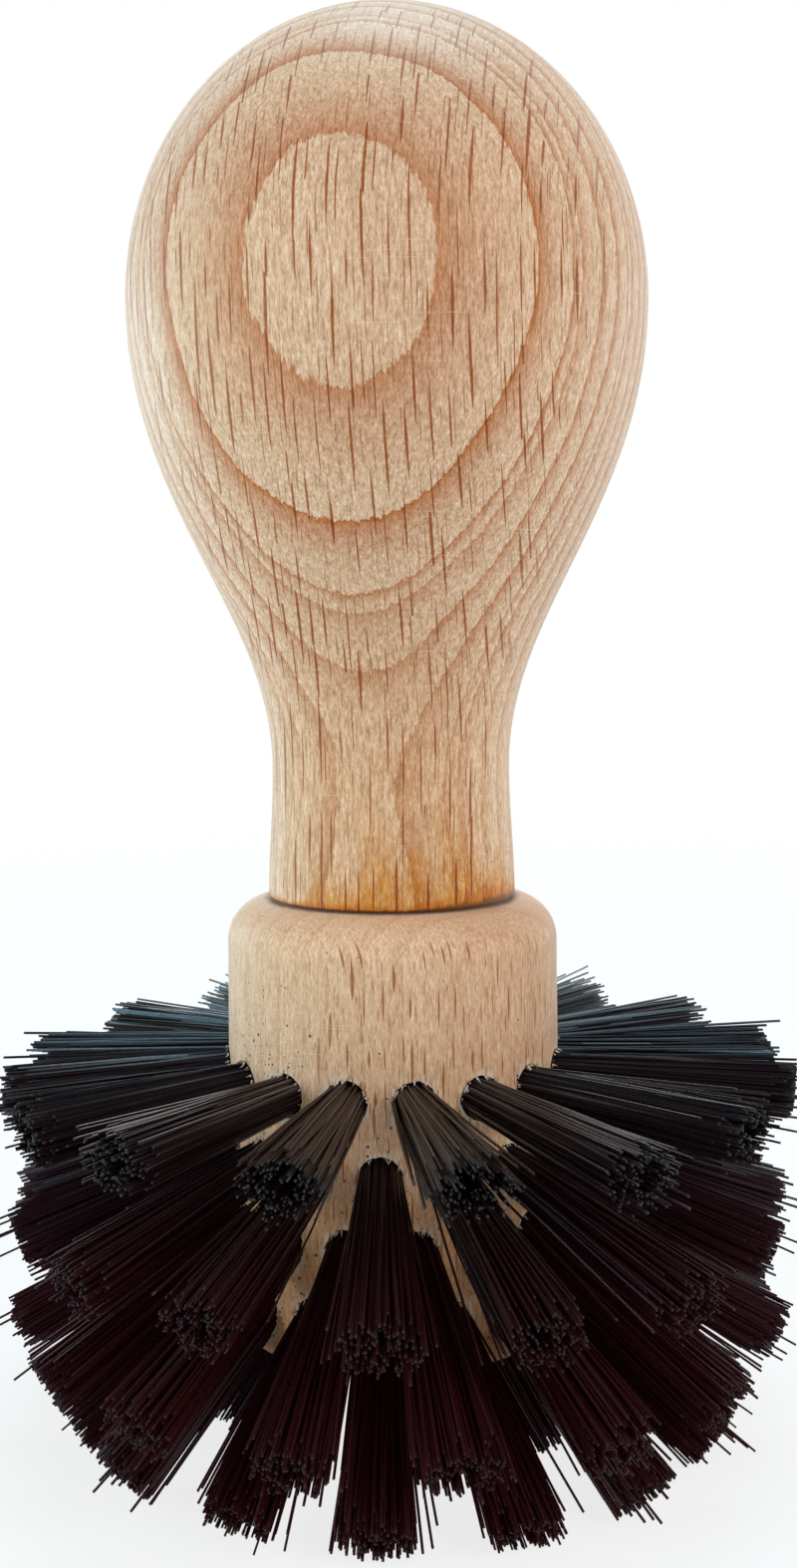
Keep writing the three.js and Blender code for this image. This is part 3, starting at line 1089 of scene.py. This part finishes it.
@cache
def filament_tree() -> Tree:
    """Make the tree that grows every filament of one ring of tufts.

    Returns:
        The geometry tree.
    """
    open_middle = 0.1
    jitter = 0.06
    stray_power = 60.0
    splay_power = 14.0
    splay_reach = 0.8
    ragged_power = 2.2
    ragged_cut = 0.8
    tone_power = 3.0
    drift_across = 0.5 * MM
    drift_along = 0.4 * MM
    least_fall = 0.01 * MM
    bow_size = 0.16 * MM
    lengths = numbers("Root depth", "Free length", "Filament radius", "Ragged ends", "Stray reach")
    spreads = numbers("Root spread", "Tip spread", "Flatness", "Lean", "Sweep")
    ends = numbers("Trim shift", "Tip plane", "Dullness")
    graph = TreeGraph("tuft_filaments", {"Filaments": SocketKind.WHOLE, **lengths, **spreads, **ends})
    tufts, filaments = graph.given("Tufts", "Filaments")
    root_depth, free_length, radius, ragged, stray_reach = graph.given(*lengths)
    root_spread, tip_spread, flatness, lean, sweep = graph.given(*spreads)
    trim_shift, tip_plane, dullness = graph.given(*ends)
    index = graph.index()
    number = ((index + 0.5) / filaments).floor()
    strand = index - number * filaments
    mouth, straight_axis, across, along = graph.tuft(number)

    # A sunflower disc with an open middle, because each tuft is folded over its staple
    spread = ((strand + 0.5) / filaments).raised(open_middle).square_root()
    turn = strand * GOLDEN_ANGLE + graph.draw(1, 0.0, 2.0 * math.pi, by=number)
    section_across = spread * turn.cosine() + graph.draw(2, -jitter, jitter)
    section_along = spread * turn.sine() + graph.draw(3, -jitter, jitter)
    section = across * section_across + along * section_along

    # Turning the brush in a filter basket has swept the tufts round, and each leans a little its own way
    lean_across = graph.draw(4, -1.0, 1.0, by=number) * lean + sweep
    lean_along = graph.draw(5, -1.0, 1.0, by=number) * lean
    axis = (straight_axis + across * lean_across + along * lean_along).unit()

    # A few filaments are longer and splay further than the rest
    stray = graph.draw(6) ** stray_power
    splay = graph.draw(7) ** splay_power * splay_reach + 1.0
    shortfall = graph.draw(8) ** ragged_power * ragged
    length = free_length + axis.parts()[0] * trim_shift - shortfall + stray * stray_reach
    flare = (across * section_across + along * (section_along * flatness)) * (tip_spread * splay)
    drift = across * graph.draw(9, -drift_across, drift_across)
    drift = drift + along * graph.draw(10, -drift_along, drift_along)
    root = mouth - axis * root_depth + section * root_spread
    full_tip = mouth + axis * length + flare + drift

    # The cut that levels the ends where the brush stands
    root_height = root.parts()[2]
    fall = (root_height - full_tip.parts()[2]).at_least(least_fall)
    room = root_height - tip_plane - shortfall * ragged_cut
    run = (full_tip - root) * (room / fall).at_most(1.0)

    points = graph.points(tufts * filaments, root)
    # Each strand's random share of dust and painted sheen
    points = graph.store(points, "tone", graph.draw(12) ** tone_power * dullness)
    bow = across * graph.draw(13, -1.0, 1.0) + along * graph.draw(14, -1.0, 1.0)
    points = graph.store(points, "bow", bow * bow_size)
    scale = graph.xyz(radius, radius, run.length())
    strands = graph.real(graph.copies(points, unit_filament(graph), graph.facing(run), scale))
    reach = graph.kept("reach")
    bowed = graph.moved(strands, graph.kept("bow", "FLOAT_VECTOR") * (reach * (1.0 - reach) * 4.0))
    return graph.finish(graph.made("GeometryNodeRemoveAttribute", {"Geometry": bowed, "Name": "bow"}))


def unit_filament(graph: TreeGraph) -> Field:
    """Make one filament of unit radius and length, with its reach from 0 at the root to 1 at the cut end.

    Args:
        graph: The tree that it stands in.

    Returns:
        The filament's mesh.
    """
    cut_starts = 0.985
    sharp_angle = math.radians(80.0)
    sides = {"Vertices": 4, "Side Segments": 3, "Radius": 1.0, "Depth": 1.0}
    rod = graph.made("GeometryNodeMeshCylinder", sides)
    x, y, z = graph.position().parts()
    level = z + 0.5
    # The rings of the rod go to the root, the middle, the start of the cut end and its tip
    reach = (level * (cut_starts * 1.5)).at_most(cut_starts) + (level > 0.9) * (1.0 - cut_starts)
    rod = graph.made("GeometryNodeSetPosition", {"Geometry": rod, "Position": graph.xyz(x, y, reach)})
    rod = graph.store(rod, "reach", z)
    angles = {"A": graph.made("GeometryNodeInputMeshEdgeAngle"), "B": sharp_angle}
    at_cut = graph.made("FunctionNodeCompare", angles, operation="GREATER_THAN")
    sharp = {"Geometry": rod, "Selection": at_cut, "Shade Smooth": False}
    return graph.made("GeometryNodeSetShadeSmooth", sharp, domain="EDGE")


@cache
def drilling_tree() -> Tree:
    """Make the tree that drills one ring of blind holes into the turned head.

    Returns:
        The geometry tree.
    """
    bit_sides = 40
    wobble_grain = 2.8 / MM
    wobble_reach = 4.0
    sizes = numbers("Hole radius", "Hole depth", "Run out")
    graph = TreeGraph("drilled_ring", sizes, takes_mesh=True)
    wood, tufts, radius, depth, run_out = graph.given("Geometry", "Tufts", *sizes)
    mouth, axis, _, _ = graph.tuft(graph.index())
    sides = {"Vertices": bit_sides, "Side Segments": 1, "Radius": radius, "Depth": depth * 2.0}
    bit = graph.made("GeometryNodeMeshCylinder", sides)
    bits = graph.real(graph.copies(graph.points(tufts, mouth), bit, graph.facing(axis)))
    wobble = graph.position().noise(wobble_grain, output="Color") - (0.5, 0.5, 0.5)
    bits = graph.moved(bits, wobble * run_out * wobble_reach)
    meshes = {"Mesh 1": wood, "Mesh 2": bits}
    cut = graph.made("GeometryNodeMeshBoolean", meshes, "Mesh", operation="DIFFERENCE", solver="EXACT")
    return graph.finish(cut)


@cache
def staple_tree() -> Tree:
    """Make the tree that sets one staple across the fold of each tuft of a ring.

    Returns:
        The geometry tree.
    """
    twist = 0.3
    droop = 0.12
    sizes = numbers("Staple width", "Staple length", "Staple thickness", "Set depth")
    graph = TreeGraph("tuft_staples", sizes)
    tufts, width, length, thickness, depth = graph.given("Tufts", *sizes)
    mouth, axis, across, _ = graph.tuft(graph.index())
    box = {"Size": graph.xyz(width, thickness, length), "Vertices X": 7, "Vertices Y": 2, "Vertices Z": 3}
    x, _, z = graph.position().parts()
    share = x / width * 2.0
    bend = graph.xyz(0.0, z / length * (thickness * twist), share * share * (length * -droop))
    strip = graph.moved(graph.made("GeometryNodeMeshCube", box), bend)
    axes = {"Primary Axis": axis, "Secondary Axis": across}
    turn = graph.made("FunctionNodeAxesToRotation", axes, primary_axis="Z", secondary_axis="X")
    return graph.finish(graph.real(graph.copies(graph.points(tufts, mouth - axis * depth), strip, turn)))


@cache
def torn_fibre_tree() -> Tree:
    """Make the tree that adds the torn fibres round the holes of one ring to a mesh.

    Returns:
        The geometry tree.
    """
    rim_reach = 0.62 * math.pi
    set_in = 0.06 * MM
    hanging = (-1.0, -0.2)
    standing = (0.15, 0.8)
    side_lean = 0.35
    reaches = (0.25, 1.0)
    least_reach = 0.3
    widths = (0.5, 1.4)
    sizes = numbers("Hole radius", "Fibre length", "Fibre radius")
    graph = TreeGraph("torn_fibres", {"Fibres": SocketKind.WHOLE, **sizes}, takes_mesh=True)
    others, tufts, fibres = graph.given("Geometry", "Tufts", "Fibres")
    ring_radius, tilt, hole_radius, length, radius = graph.given("Ring radius", "Tilt", *sizes)
    mouth, _, across, _ = graph.tuft(((graph.index() + 0.5) / fibres).floor())
    turn = graph.draw(21, -rim_reach, rim_reach)
    sine, cosine = turn.sine(), turn.cosine()

    # The tilted hole meets the upright wall in an oval, and each fibre stands on that oval's rim
    climb = graph.xyz(z=cosine * hole_radius / tilt.cosine())
    x, y, z = (mouth + across * (sine * hole_radius) + climb).parts()
    flat = graph.xyz(x, y)
    shrink = (ring_radius - set_in) / flat.length()
    points = graph.points(tufts * fibres, graph.xyz(x * shrink, y * shrink, z))

    # The grain runs upright, so the fibres hang down over the top of the hole
    hang = graph.xyz(z=cosine * graph.draw(22, *hanging))
    aim = hang + flat.unit() * graph.draw(23, *standing) + across * graph.draw(24, -side_lean, side_lean)
    reach = length * graph.draw(25, *reaches) * abs(cosine).raised(least_reach)
    points = graph.store(points, "tone", graph.draw(26))
    spike = graph.made("GeometryNodeMeshCone", {"Vertices": 4, "Radius Bottom": 1.0, "Depth": 1.0})
    scale = graph.xyz(radius, radius * graph.draw(27, *widths), reach)
    together = graph.node("GeometryNodeJoinGeometry")
    for part in (others, graph.copies(points, spike, graph.facing(aim), scale)):
        graph.feed(together, {0: part})
    return graph.finish(graph.real(Field(graph, together.outputs[0])))


def plain_piece(name: str, data: bpy.types.ID) -> Piece:
    """Put an object in the scene, at the origin.

    Args:
        name: The object's name.
        data: Its mesh, lamp or camera.

    Returns:
        The new object.
    """
    piece = bpy.data.objects.new(name, data)
    bpy.context.scene.collection.objects.link(piece)
    return piece


def handed_over(piece: Piece, replaced: Sequence[str]) -> Piece:
    """Say what a finished piece rides on and hide the nodes that it replaces.

    Args:
        piece: The piece.
        replaced: The nodes that it replaces, if any.

    Returns:
        The same piece.
    """
    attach(piece, BODY)
    if replaced:
        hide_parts(*replaced)
    return piece


def grow(piece: Piece, tree: Tree, part: Any, rings: Sequence[TuftRing]) -> None:
    """Run a geometry tree on an object for each ring and keep the result as its plain mesh.

    Args:
        piece: The object.
        tree: The tree, whose inputs are named after fields of the ring and of the part.
        part: The part that the object belongs to.
        rings: The rings.
    """
    for ring in rings:
        modifier = piece.modifiers.new(tree.name, "NODES")
        modifier.node_group = tree
        for item in tree.interface.items_tree:
            field = item.name.lower().replace(" ", "_")
            if item.in_out == "INPUT" and item.socket_type != SocketKind.GEOMETRY.value:
                modifier[item.identifier] = getattr(ring if hasattr(ring, field) else part, field)
    depsgraph = bpy.context.evaluated_depsgraph_get()
    evaluated = piece.evaluated_get(depsgraph)
    mesh = bpy.data.meshes.new_from_object(evaluated, preserve_all_data_layers=True, depsgraph=depsgraph)
    mesh.name = piece.name
    piece.modifiers.clear()
    piece.data = mesh


def circle(radius: float, height: float, sides: int) -> list[Triple]:
    """List the corners of a level polygon round the handle's axis."""
    angles = [2.0 * math.pi * step / sides for step in range(sides)]
    return [(radius * math.cos(angle), radius * math.sin(angle), height) for angle in angles]


def turned_mesh(name: str, profile: Profile, segments: int) -> bpy.types.Mesh:
    """Turn a profile about the handle's axis.

    Args:
        name: The mesh's name.
        profile: Radius and height of each point, from one pole to the other, with the lower pole first.
        segments: Facets round the axis.

    Returns:
        A closed mesh whose faces point outwards.
    """
    vertices = [(0.0, 0.0, profile[0][1])]
    for radius, height in profile[1:-1]:
        vertices += circle(radius, height, segments)
    top = len(vertices) - segments
    vertices.append((0.0, 0.0, profile[-1][1]))
    faces: list[tuple[int, ...]] = []
    for step in range(segments):
        following = (step + 1) % segments
        faces.append((0, 1 + following, 1 + step))
        for low in range(1, top, segments):
            high = low + segments
            faces.append((low + step, low + following, high + following, high + step))
        faces.append((top + step, top + following, len(vertices) - 1))
    mesh = bpy.data.meshes.new(name)
    mesh.from_pydata(vertices, [], faces)
    mesh.validate()
    return mesh


def smooth_by_angle(mesh: bpy.types.Mesh, limit: float) -> None:
    """Shade a mesh smooth, apart from edges sharper than the limit in radians."""
    mesh.shade_smooth()
    mesh.set_sharp_from_angle(angle=limit)


def bezier(points: Profile, steps: int) -> Profile:
    """Follow a cubic curve.

    Args:
        points: Its four control points.
        steps: How many steps to take, the first point not counted.

    Returns:
        The points after the first one.
    """
    start, pull_out, pull_in, stop = (np.array(point) for point in points)
    made = []
    for step in range(1, steps + 1):
        share = step / steps
        rest = 1.0 - share
        pulled = 3 * rest**2 * share * pull_out + 3 * rest * share**2 * pull_in
        made.append(tuple((rest**3 * start + pulled + share**3 * stop).tolist()))
    return made


def arc(centre: Span, radii: Span, start: float, stop: float, steps: int) -> Profile:
    """Follow an elliptic arc, from the first angle to the last, both included."""
    angles = np.linspace(start, stop, steps + 1)
    return [(centre[0] + radii[0] * math.cos(a), centre[1] + radii[1] * math.sin(a)) for a in angles]


def straight(start: Span, stop: Span, steps: int) -> Profile:
    """Follow a straight line in equal steps, the first point not counted."""
    shares = [step / steps for step in range(1, steps + 1)]
    return [(start[0] + (stop[0] - start[0]) * s, start[1] + (stop[1] - start[1]) * s) for s in shares]


@dataclass
class Handle:
    """The turned handle: a pear-shaped knob, a slim neck and a tenon."""

    material: Material
    bulb_radius: float = 19.4 * MM
    crown_rise: float = 21.2 * MM
    bulb_ease: float = 15.1 * MM
    shoulder_length: float = 34.4 * MM
    waist_radius: float = 9.05 * MM
    waist_ease: float = 11.8 * MM
    neck_length: float = 10.1 * MM
    neck_radius: float = NECK_RADIUS
    seam_chamfer: float = 0.3 * MM
    tenon_radius: float = 6.0 * MM
    tenon_length: float = 9.0 * MM
    tenon_chamfer: float = 0.8 * MM
    segments: int = 160
    neck_steps: int = 20
    shoulder_steps: int = 54
    crown_steps: int = 44
    sharp_angle: float = math.radians(32.0)

    def build(self) -> Piece:
        """Turn the handle and dress it in beech.

        Returns:
            The finished piece.
        """
        mesh = turned_mesh("handle_wood", self._profile(), self.segments)
        smooth_by_angle(mesh, self.sharp_angle)
        mesh.materials.append(self.material)
        return handed_over(plain_piece("handle_wood", mesh), ["handle"])

    def _profile(self) -> Profile:
        """Work out the profile.

        Returns:
            The points from the end of the tenon to the crown of the knob.
        """
        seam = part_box("brush_head")[1].z
        waist = seam + self.neck_length
        widest = waist + self.shoulder_length
        third = self.neck_length / 3.0
        foot = (self.neck_radius, seam + self.seam_chamfer)
        middle = (self.waist_radius, waist)
        points = [
            (0.0, seam - self.tenon_length),
            (self.tenon_radius - self.tenon_chamfer, seam - self.tenon_length),
            (self.tenon_radius, seam - self.tenon_length + self.tenon_chamfer),
            (self.tenon_radius, seam),
            (self.neck_radius - self.seam_chamfer, seam),
            foot,
        ]
        neck = [foot, (self.neck_radius, seam + third), (self.waist_radius, seam + 2.0 * third), middle]
        shoulder = [
            middle,
            (self.waist_radius, waist + self.waist_ease),
            (self.bulb_radius, widest - self.bulb_ease),
            (self.bulb_radius, widest),
        ]
        points += bezier(neck, self.neck_steps) + bezier(shoulder, self.shoulder_steps)
        radii = (self.bulb_radius, self.crown_rise)
        points += arc((0.0, widest), radii, 0.0, math.pi / 2.0, self.crown_steps)[1:-1]
        return points + [(0.0, widest + self.crown_rise)]


@dataclass
class BrushHead:
    """The drilled head: a plain collar with a rounded shoulder, and a blind hole for each tuft."""

    material: Material
    rings: Sequence[TuftRing]
    radius: float = HEAD_RADIUS
    shoulder_round: float = 3.2 * MM
    draft: float = 0.25 * MM
    foot_round: float = 1.2 * MM
    socket_radius: float = 6.3 * MM
    socket_depth: float = 9.3 * MM
    hole_radius: float = HOLE_RADIUS
    hole_depth: float = 3.4 * MM
    run_out: float = 0.09 * MM
    torn_width: float = 0.35 * MM
    torn_depth: float = 1.5 * MM
    segments: int = 224
    base_steps: int = 24
    foot_steps: int = 8
    wall_steps: int = 64
    shoulder_steps: int = 18
    top_steps: int = 6
    sharp_angle: float = math.radians(38.0)

    def build(self) -> Piece:
        """Turn the blank, drill it ring by ring and dress it in beech.

        Returns:
            The finished piece.
        """
        blank = turned_mesh("brush_head_wood", self._profile(), self.segments)
        piece = plain_piece("brush_head_wood", blank)
        piece.data.materials.append(self.material)
        grow(piece, drilling_tree(), self, self.rings)
        smooth_by_angle(piece.data, self.sharp_angle)
        self._mark_torn_rims(piece.data)
        return handed_over(piece, ["brush_head"])

    def _profile(self) -> Profile:
        """Work out the profile.

        Returns:
            The points from the middle of the foot round to the floor of the socket.
        """
        bottom, top = (corner.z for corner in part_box("brush_head"))
        shoulder = self.radius - self.draft
        points = [(0.0, bottom)]
        points += straight((0.0, bottom), (self.radius - self.foot_round, bottom), self.base_steps)[:-1]
        centre = (self.radius - self.foot_round, bottom + self.foot_round)
        radii = (self.foot_round, self.foot_round)
        points += arc(centre, radii, -math.pi / 2.0, 0.0, self.foot_steps)
        points += straight(points[-1], (shoulder, top - self.shoulder_round), self.wall_steps)[:-1]
        centre = (shoulder - self.shoulder_round, top - self.shoulder_round)
        radii = (self.shoulder_round, self.shoulder_round)
        points += arc(centre, radii, 0.0, math.pi / 2.0, self.shoulder_steps)
        points += straight(points[-1], (self.socket_radius, top), self.top_steps)
        return points + [(self.socket_radius, top - self.socket_depth), (0.0, top - self.socket_depth)]

    def _mark_torn_rims(self, mesh: bpy.types.Mesh) -> None:
        """Keep on each point how near it is to the rim of a hole, for the torn fibre there.

        Args:
            mesh: The drilled head.
        """
        places = np.empty(len(mesh.vertices) * 3)
        mesh.vertices.foreach_get("co", places)
        places = places.reshape(-1, 3)
        nearest = np.full(len(places), np.inf)
        for ring in self.rings:
            for mouth, axis in zip(*ring.axes()):
                offset = places - mouth
                along = offset @ axis
                from_axis = np.linalg.norm(offset - along[:, None] * axis, axis=1)
                outside = np.where(along > -self.torn_depth, from_axis - self.hole_radius, np.inf)
                nearest = np.minimum(nearest, np.abs(outside))
        torn = np.exp(-((nearest / self.torn_width) ** 2))
        attribute = mesh.attributes.new("torn", "FLOAT", "POINT")
        attribute.data.foreach_set("value", torn.astype(np.float32))


@dataclass
class GrownPiece:
    """A piece that a geometry tree grows on rings of tufts, by the sizes in its fields."""

    name: str
    tree: Tree
    rings: Sequence[TuftRing]
    material: Material
    replaced: Sequence[str] = ()
    slot: Slot = Slot.BEECH

    def build(self) -> Piece:
        """Grow the piece.

        Returns:
            The finished piece.
        """
        piece = plain_piece(self.name, bpy.data.meshes.new(self.name))
        grow(piece, self.tree, self, self.rings)
        return handed_over(piece, self.replaced)


@dataclass
class TornFibres(GrownPiece):
    """The short torn fibres that the drill left round the holes in the head's wall."""

    fibres: int = 22
    hole_radius: float = HOLE_RADIUS
    fibre_length: float = 0.75 * MM
    fibre_radius: float = 0.07 * MM


@dataclass
class Tufts(GrownPiece):
    """The filaments of one ring of tufts."""

    slot: Slot = Slot.FILAMENT
    filaments: int = 236
    root_spread: float = 1.28 * MM
    tip_spread: float = 2.6 * MM
    filament_radius: float = 0.1 * MM
    ragged_ends: float = 2.3 * MM
    stray_reach: float = 2.6 * MM
    lean: float = 0.035
    sweep: float = 0.05
    flatness: float = 0.74
    trim_shift: float = 0.35 * MM

    @property
    def tip_plane(self) -> float:
        """Give the height that the ends are cut to, so that no filament goes under the floor."""
        return CAD_BOX[0].z + self.filament_radius


@dataclass
class Staples(GrownPiece):
    """The staples of one ring of tufts."""

    slot: Slot = Slot.STEEL
    staple_width: float = 2.5 * MM
    staple_length: float = 1.8 * MM
    staple_thickness: float = 0.35 * MM
    set_depth: float = 2.6 * MM


@dataclass
class TuftPlan:
    """Where every ring of tufts stands on the head."""

    row_tufts: int = 16
    row_seed: int = 10
    row_pitch: float = 5.5 * MM
    first_row_drop: float = 13.0 * MM
    row_tilts: tuple[float, ...] = (3.5, 18.0, 27.0, 36.0)
    # Dust and painted sheen by row, most on the upper rows where the light falls
    row_dullness: tuple[float, ...] = (0.60, 0.36, 0.18, 0.08)
    first_angle: float = math.radians(6.8)
    trim_radii: tuple[float, ...] = (30.1 * MM, 29.4 * MM, 29.1 * MM)
    last_row_length: float = 15.4 * MM
    root_depth: float = 3.0 * MM
    base_radius: float = 8.0 * MM
    base_tufts: int = 8
    base_tilt: float = math.radians(58.0)
    base_length: float = 9.5 * MM
    base_seed: int = 50
    centre_length: float = 8.0 * MM
    centre_seed: int = 60

    def rows(self) -> list[TuftRing]:
        """List the four rows round the head."""
        return [self._row(number) for number in range(len(self.row_tilts))]

    def base(self) -> list[TuftRing]:
        """List the ring under the head and the tuft in the middle.

        Returns:
            Both, as rings.
        """
        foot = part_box("brush_head")[0].z
        place = (self.base_tufts, self.first_angle, self.base_radius, foot, self.base_tilt)
        ring = TuftRing("base_ring", *place, self.root_depth, self.base_length, self.base_seed)
        place = (1, self.first_angle, 0.0, foot, math.pi / 2.0)
        centre = TuftRing("base_centre", *place, self.root_depth, self.centre_length, self.centre_seed)
        return [ring, centre]

    def _row(self, number: int) -> TuftRing:
        """Place one row round the head, every other one staggered by half a step.

        Args:
            number: The row's number, from 0 at the top.

        Returns:
            The row.
        """
        tilt = math.radians(self.row_tilts[number])
        stagger = math.pi / self.row_tufts if number % 2 else 0.0
        if number < len(self.trim_radii):
            free_length = (self.trim_radii[number] - HEAD_RADIUS) / math.cos(tilt)
            replaced = f"bristles_row_{number + 1}"
        else:
            free_length = self.last_row_length
            replaced = "bristles_last_row_and_base"
        return TuftRing(
            f"row_{number + 1}",
            tufts=self.row_tufts,
            first_angle=self.first_angle + stagger,
            ring_radius=HEAD_RADIUS,
            ring_height=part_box("brush_head")[1].z - self.first_row_drop - number * self.row_pitch,
            tilt=tilt,
            root_depth=self.root_depth,
            free_length=free_length,
            seed=self.row_seed * (number + 1),
            dullness=self.row_dullness[number],
            replaced=(replaced,),
        )


@dataclass(frozen=True)
class Lamp:
    """A soft square lamp. Places and sizes are metres, and power is watts."""

    name: str
    place: Triple
    size: float
    power: float
    colour: Colour
    aim_height: float = 53.0 * MM

    def hang(self) -> None:
        """Hang the lamp so that it faces the handle's axis at the height that it is aimed at."""
        light = bpy.data.lights.new(self.name, "AREA")
        light.size = self.size
        light.energy = self.power
        light.color = self.colour
        lamp = plain_piece(self.name, light)
        lamp.location = self.place
        toward = Vector((0.0, 0.0, self.aim_height)) - lamp.location
        lamp.rotation_euler = toward.to_track_quat("-Z", "Y").to_euler()


@dataclass
class Studio:
    """The floor, the lamps, the white surroundings and the camera."""

    image_width: int = 800
    image_height: int = 1574
    focal_pixels: float = 1698.4
    axis_pixel: float = 392.5
    sensor_height: float = 36.0
    camera_distance: float = 129.5 * MM
    camera_height: float = 59.8 * MM
    camera_pitch: float = math.radians(4.81)
    camera_roll: float = math.radians(-0.5)
    clip_start: float = 1.0 * MM
    floor_radius: float = 0.5
    floor_drop: float = 0.05 * MM
    floor_sides: int = 96
    floor_fade: Span = (0.25, 0.9)
    floor_glow: float = 0.8
    floor_colour: Colour = (0.93, 0.93, 0.93)
    ambient: float = 0.275
    ambient_colour: Colour = (0.96, 0.98, 1.0)
    lamps: tuple[Lamp, ...] = (
        Lamp("key", (0.42, -0.38, 0.36), 0.40, 1.9, (1.0, 0.97, 0.92)),
        Lamp("fill", (-0.51, -0.17, 0.11), 0.40, 2.42, (0.76, 0.935, 1.0)),
        Lamp("right", (0.52, -0.16, 0.10), 0.30, 0.28, (0.76, 0.92, 1.0)),
        Lamp("front", (0.05, -0.60, 0.08), 0.25, 0.25, (1.0, 0.86, 0.70)),
        Lamp("top", (0.04, 0.15, 0.62), 0.30, 1.95, (0.50, 0.84, 1.0)),
        Lamp("back", (0.0, 0.62, 0.20), 0.45, 0.75, (0.98, 0.95, 0.91)),
        Lamp("left_rim", (-0.50, 0.34, 0.10), 0.24, 1.0, (0.45, 0.82, 1.0)),
        Lamp("right_rim", (0.50, 0.34, 0.10), 0.24, 0.42, (0.58, 0.86, 1.0)),
    )

    def build(self) -> None:
        """Set up the whole studio."""
        self._floor()
        self._world()
        for lamp in self.lamps:
            lamp.hang()
        self._camera()
        bpy.context.scene.view_settings.view_transform = "Standard"

    def _floor(self) -> None:
        """Lay a pale round floor that fades into the surroundings and keeps the shadow."""
        mesh = bpy.data.meshes.new("floor")
        rim = circle(self.floor_radius, 0.0, self.floor_sides)
        mesh.from_pydata(rim, [], [tuple(range(self.floor_sides))])
        mesh.materials.append(self._floor_material())
        floor = plain_piece("floor", mesh)
        floor.location.z = -self.floor_drop

    def _floor_material(self) -> Material:
        """Make a floor that is white to the eye where no shadow falls, and clear from below.

        Returns:
            The finished material.
        """
        graph = Coat("pale_floor")
        graph.tree.nodes.clear()
        diffuse = graph.made("ShaderNodeBsdfDiffuse", {"Color": (*self.floor_colour, 1.0)})
        white = graph.made("ShaderNodeEmission", {"Strength": 1.0})
        lit = self._mix_shader(graph, self._seen(graph) * self.floor_glow, diffuse, white)
        away = graph.coordinates().length().fade(*(share * self.floor_radius for share in self.floor_fade))
        below = graph.made("ShaderNodeNewGeometry", output="Backfacing")
        clear = graph.made("ShaderNodeBsdfTransparent")
        surface = self._mix_shader(graph, away.at_least(below), lit, clear)
        graph.node("ShaderNodeOutputMaterial", {"Surface": surface})
        return graph.material

    def _seen(self, graph: Graph) -> Field:
        """Tell the rays that see the surroundings, directly or in a reflection.

        Args:
            graph: The tree that asks.

        Returns:
            1 for such a ray, and 0 for any other.
        """
        kinds = ("Camera", "Glossy", "Transmission")
        rays = [graph.made("ShaderNodeLightPath", output=f"Is {kind} Ray") for kind in kinds]
        return rays[0].at_least(rays[1]).at_least(rays[2])

    def _mix_shader(self, graph: Graph, factor: Operand, under: Field, over: Field) -> Field:
        """Mix two shaders by a factor."""
        return graph.made("ShaderNodeMixShader", {0: factor, 1: under, 2: over})

    def _world(self) -> None:
        """Make surroundings that look white and give a soft even light."""
        world = bpy.data.worlds.new("studio")
        world.use_nodes = True
        bpy.context.scene.world = world
        graph = Graph(world.node_tree)
        graph.tree.nodes.clear()
        ambient = {"Color": (*self.ambient_colour, 1.0), "Strength": self.ambient}
        soft = graph.made("ShaderNodeBackground", ambient)
        white = graph.made("ShaderNodeBackground", {"Color": (1.0, 1.0, 1.0, 1.0), "Strength": 1.0})
        surface = self._mix_shader(graph, self._seen(graph), soft, white)
        graph.node("ShaderNodeOutputWorld", {"Surface": surface})

    def _camera(self) -> None:
        """Stand the camera where the photograph was taken from."""
        data = bpy.data.cameras.new("camera")
        data.sensor_fit = "VERTICAL"
        data.sensor_height = self.sensor_height
        data.lens = self.focal_pixels / self.image_height * self.sensor_height
        data.shift_x = (self.image_width / 2.0 - self.axis_pixel) / self.image_height
        data.clip_start = self.clip_start
        camera = plain_piece("camera", data)
        camera.location = (0.0, -self.camera_distance, self.camera_height)
        level = Matrix.Rotation(math.pi / 2.0 - self.camera_pitch, 3, "X")
        camera.rotation_euler = (level @ Matrix.Rotation(self.camera_roll, 3, "Z")).to_euler()
        bpy.context.scene.camera = camera


def main() -> None:
    """Build the studio, then the brush piece by piece."""
    logging.basicConfig(level=logging.INFO, format="%(message)s")
    Studio().build()
    rows, base = TuftPlan().rows(), TuftPlan().base()
    filament = FilamentFinish().material()
    steel = SteelFinish().material()

    parts = [
        Handle(HandleBeech().material()),
        BrushHead(HeadBeech().material(), rows + base),
        TornFibres("torn_fibres", torn_fibre_tree(), rows, TornFinish().material()),
    ]
    for ring in rows + base:
        staples = [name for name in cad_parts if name.startswith(f"{ring.name}_staple_")]
        parts.append(Tufts(f"{ring.name}_filaments", filament_tree(), [ring], filament, ring.replaced))
        parts.append(Staples(f"{ring.name}_staples", staple_tree(), [ring], steel, staples))
    for part in parts:
        piece = part.build()
        LOG.info("%s: %d faces", piece.name, len(piece.data.polygons))


if __name__ == "__main__":
    main()
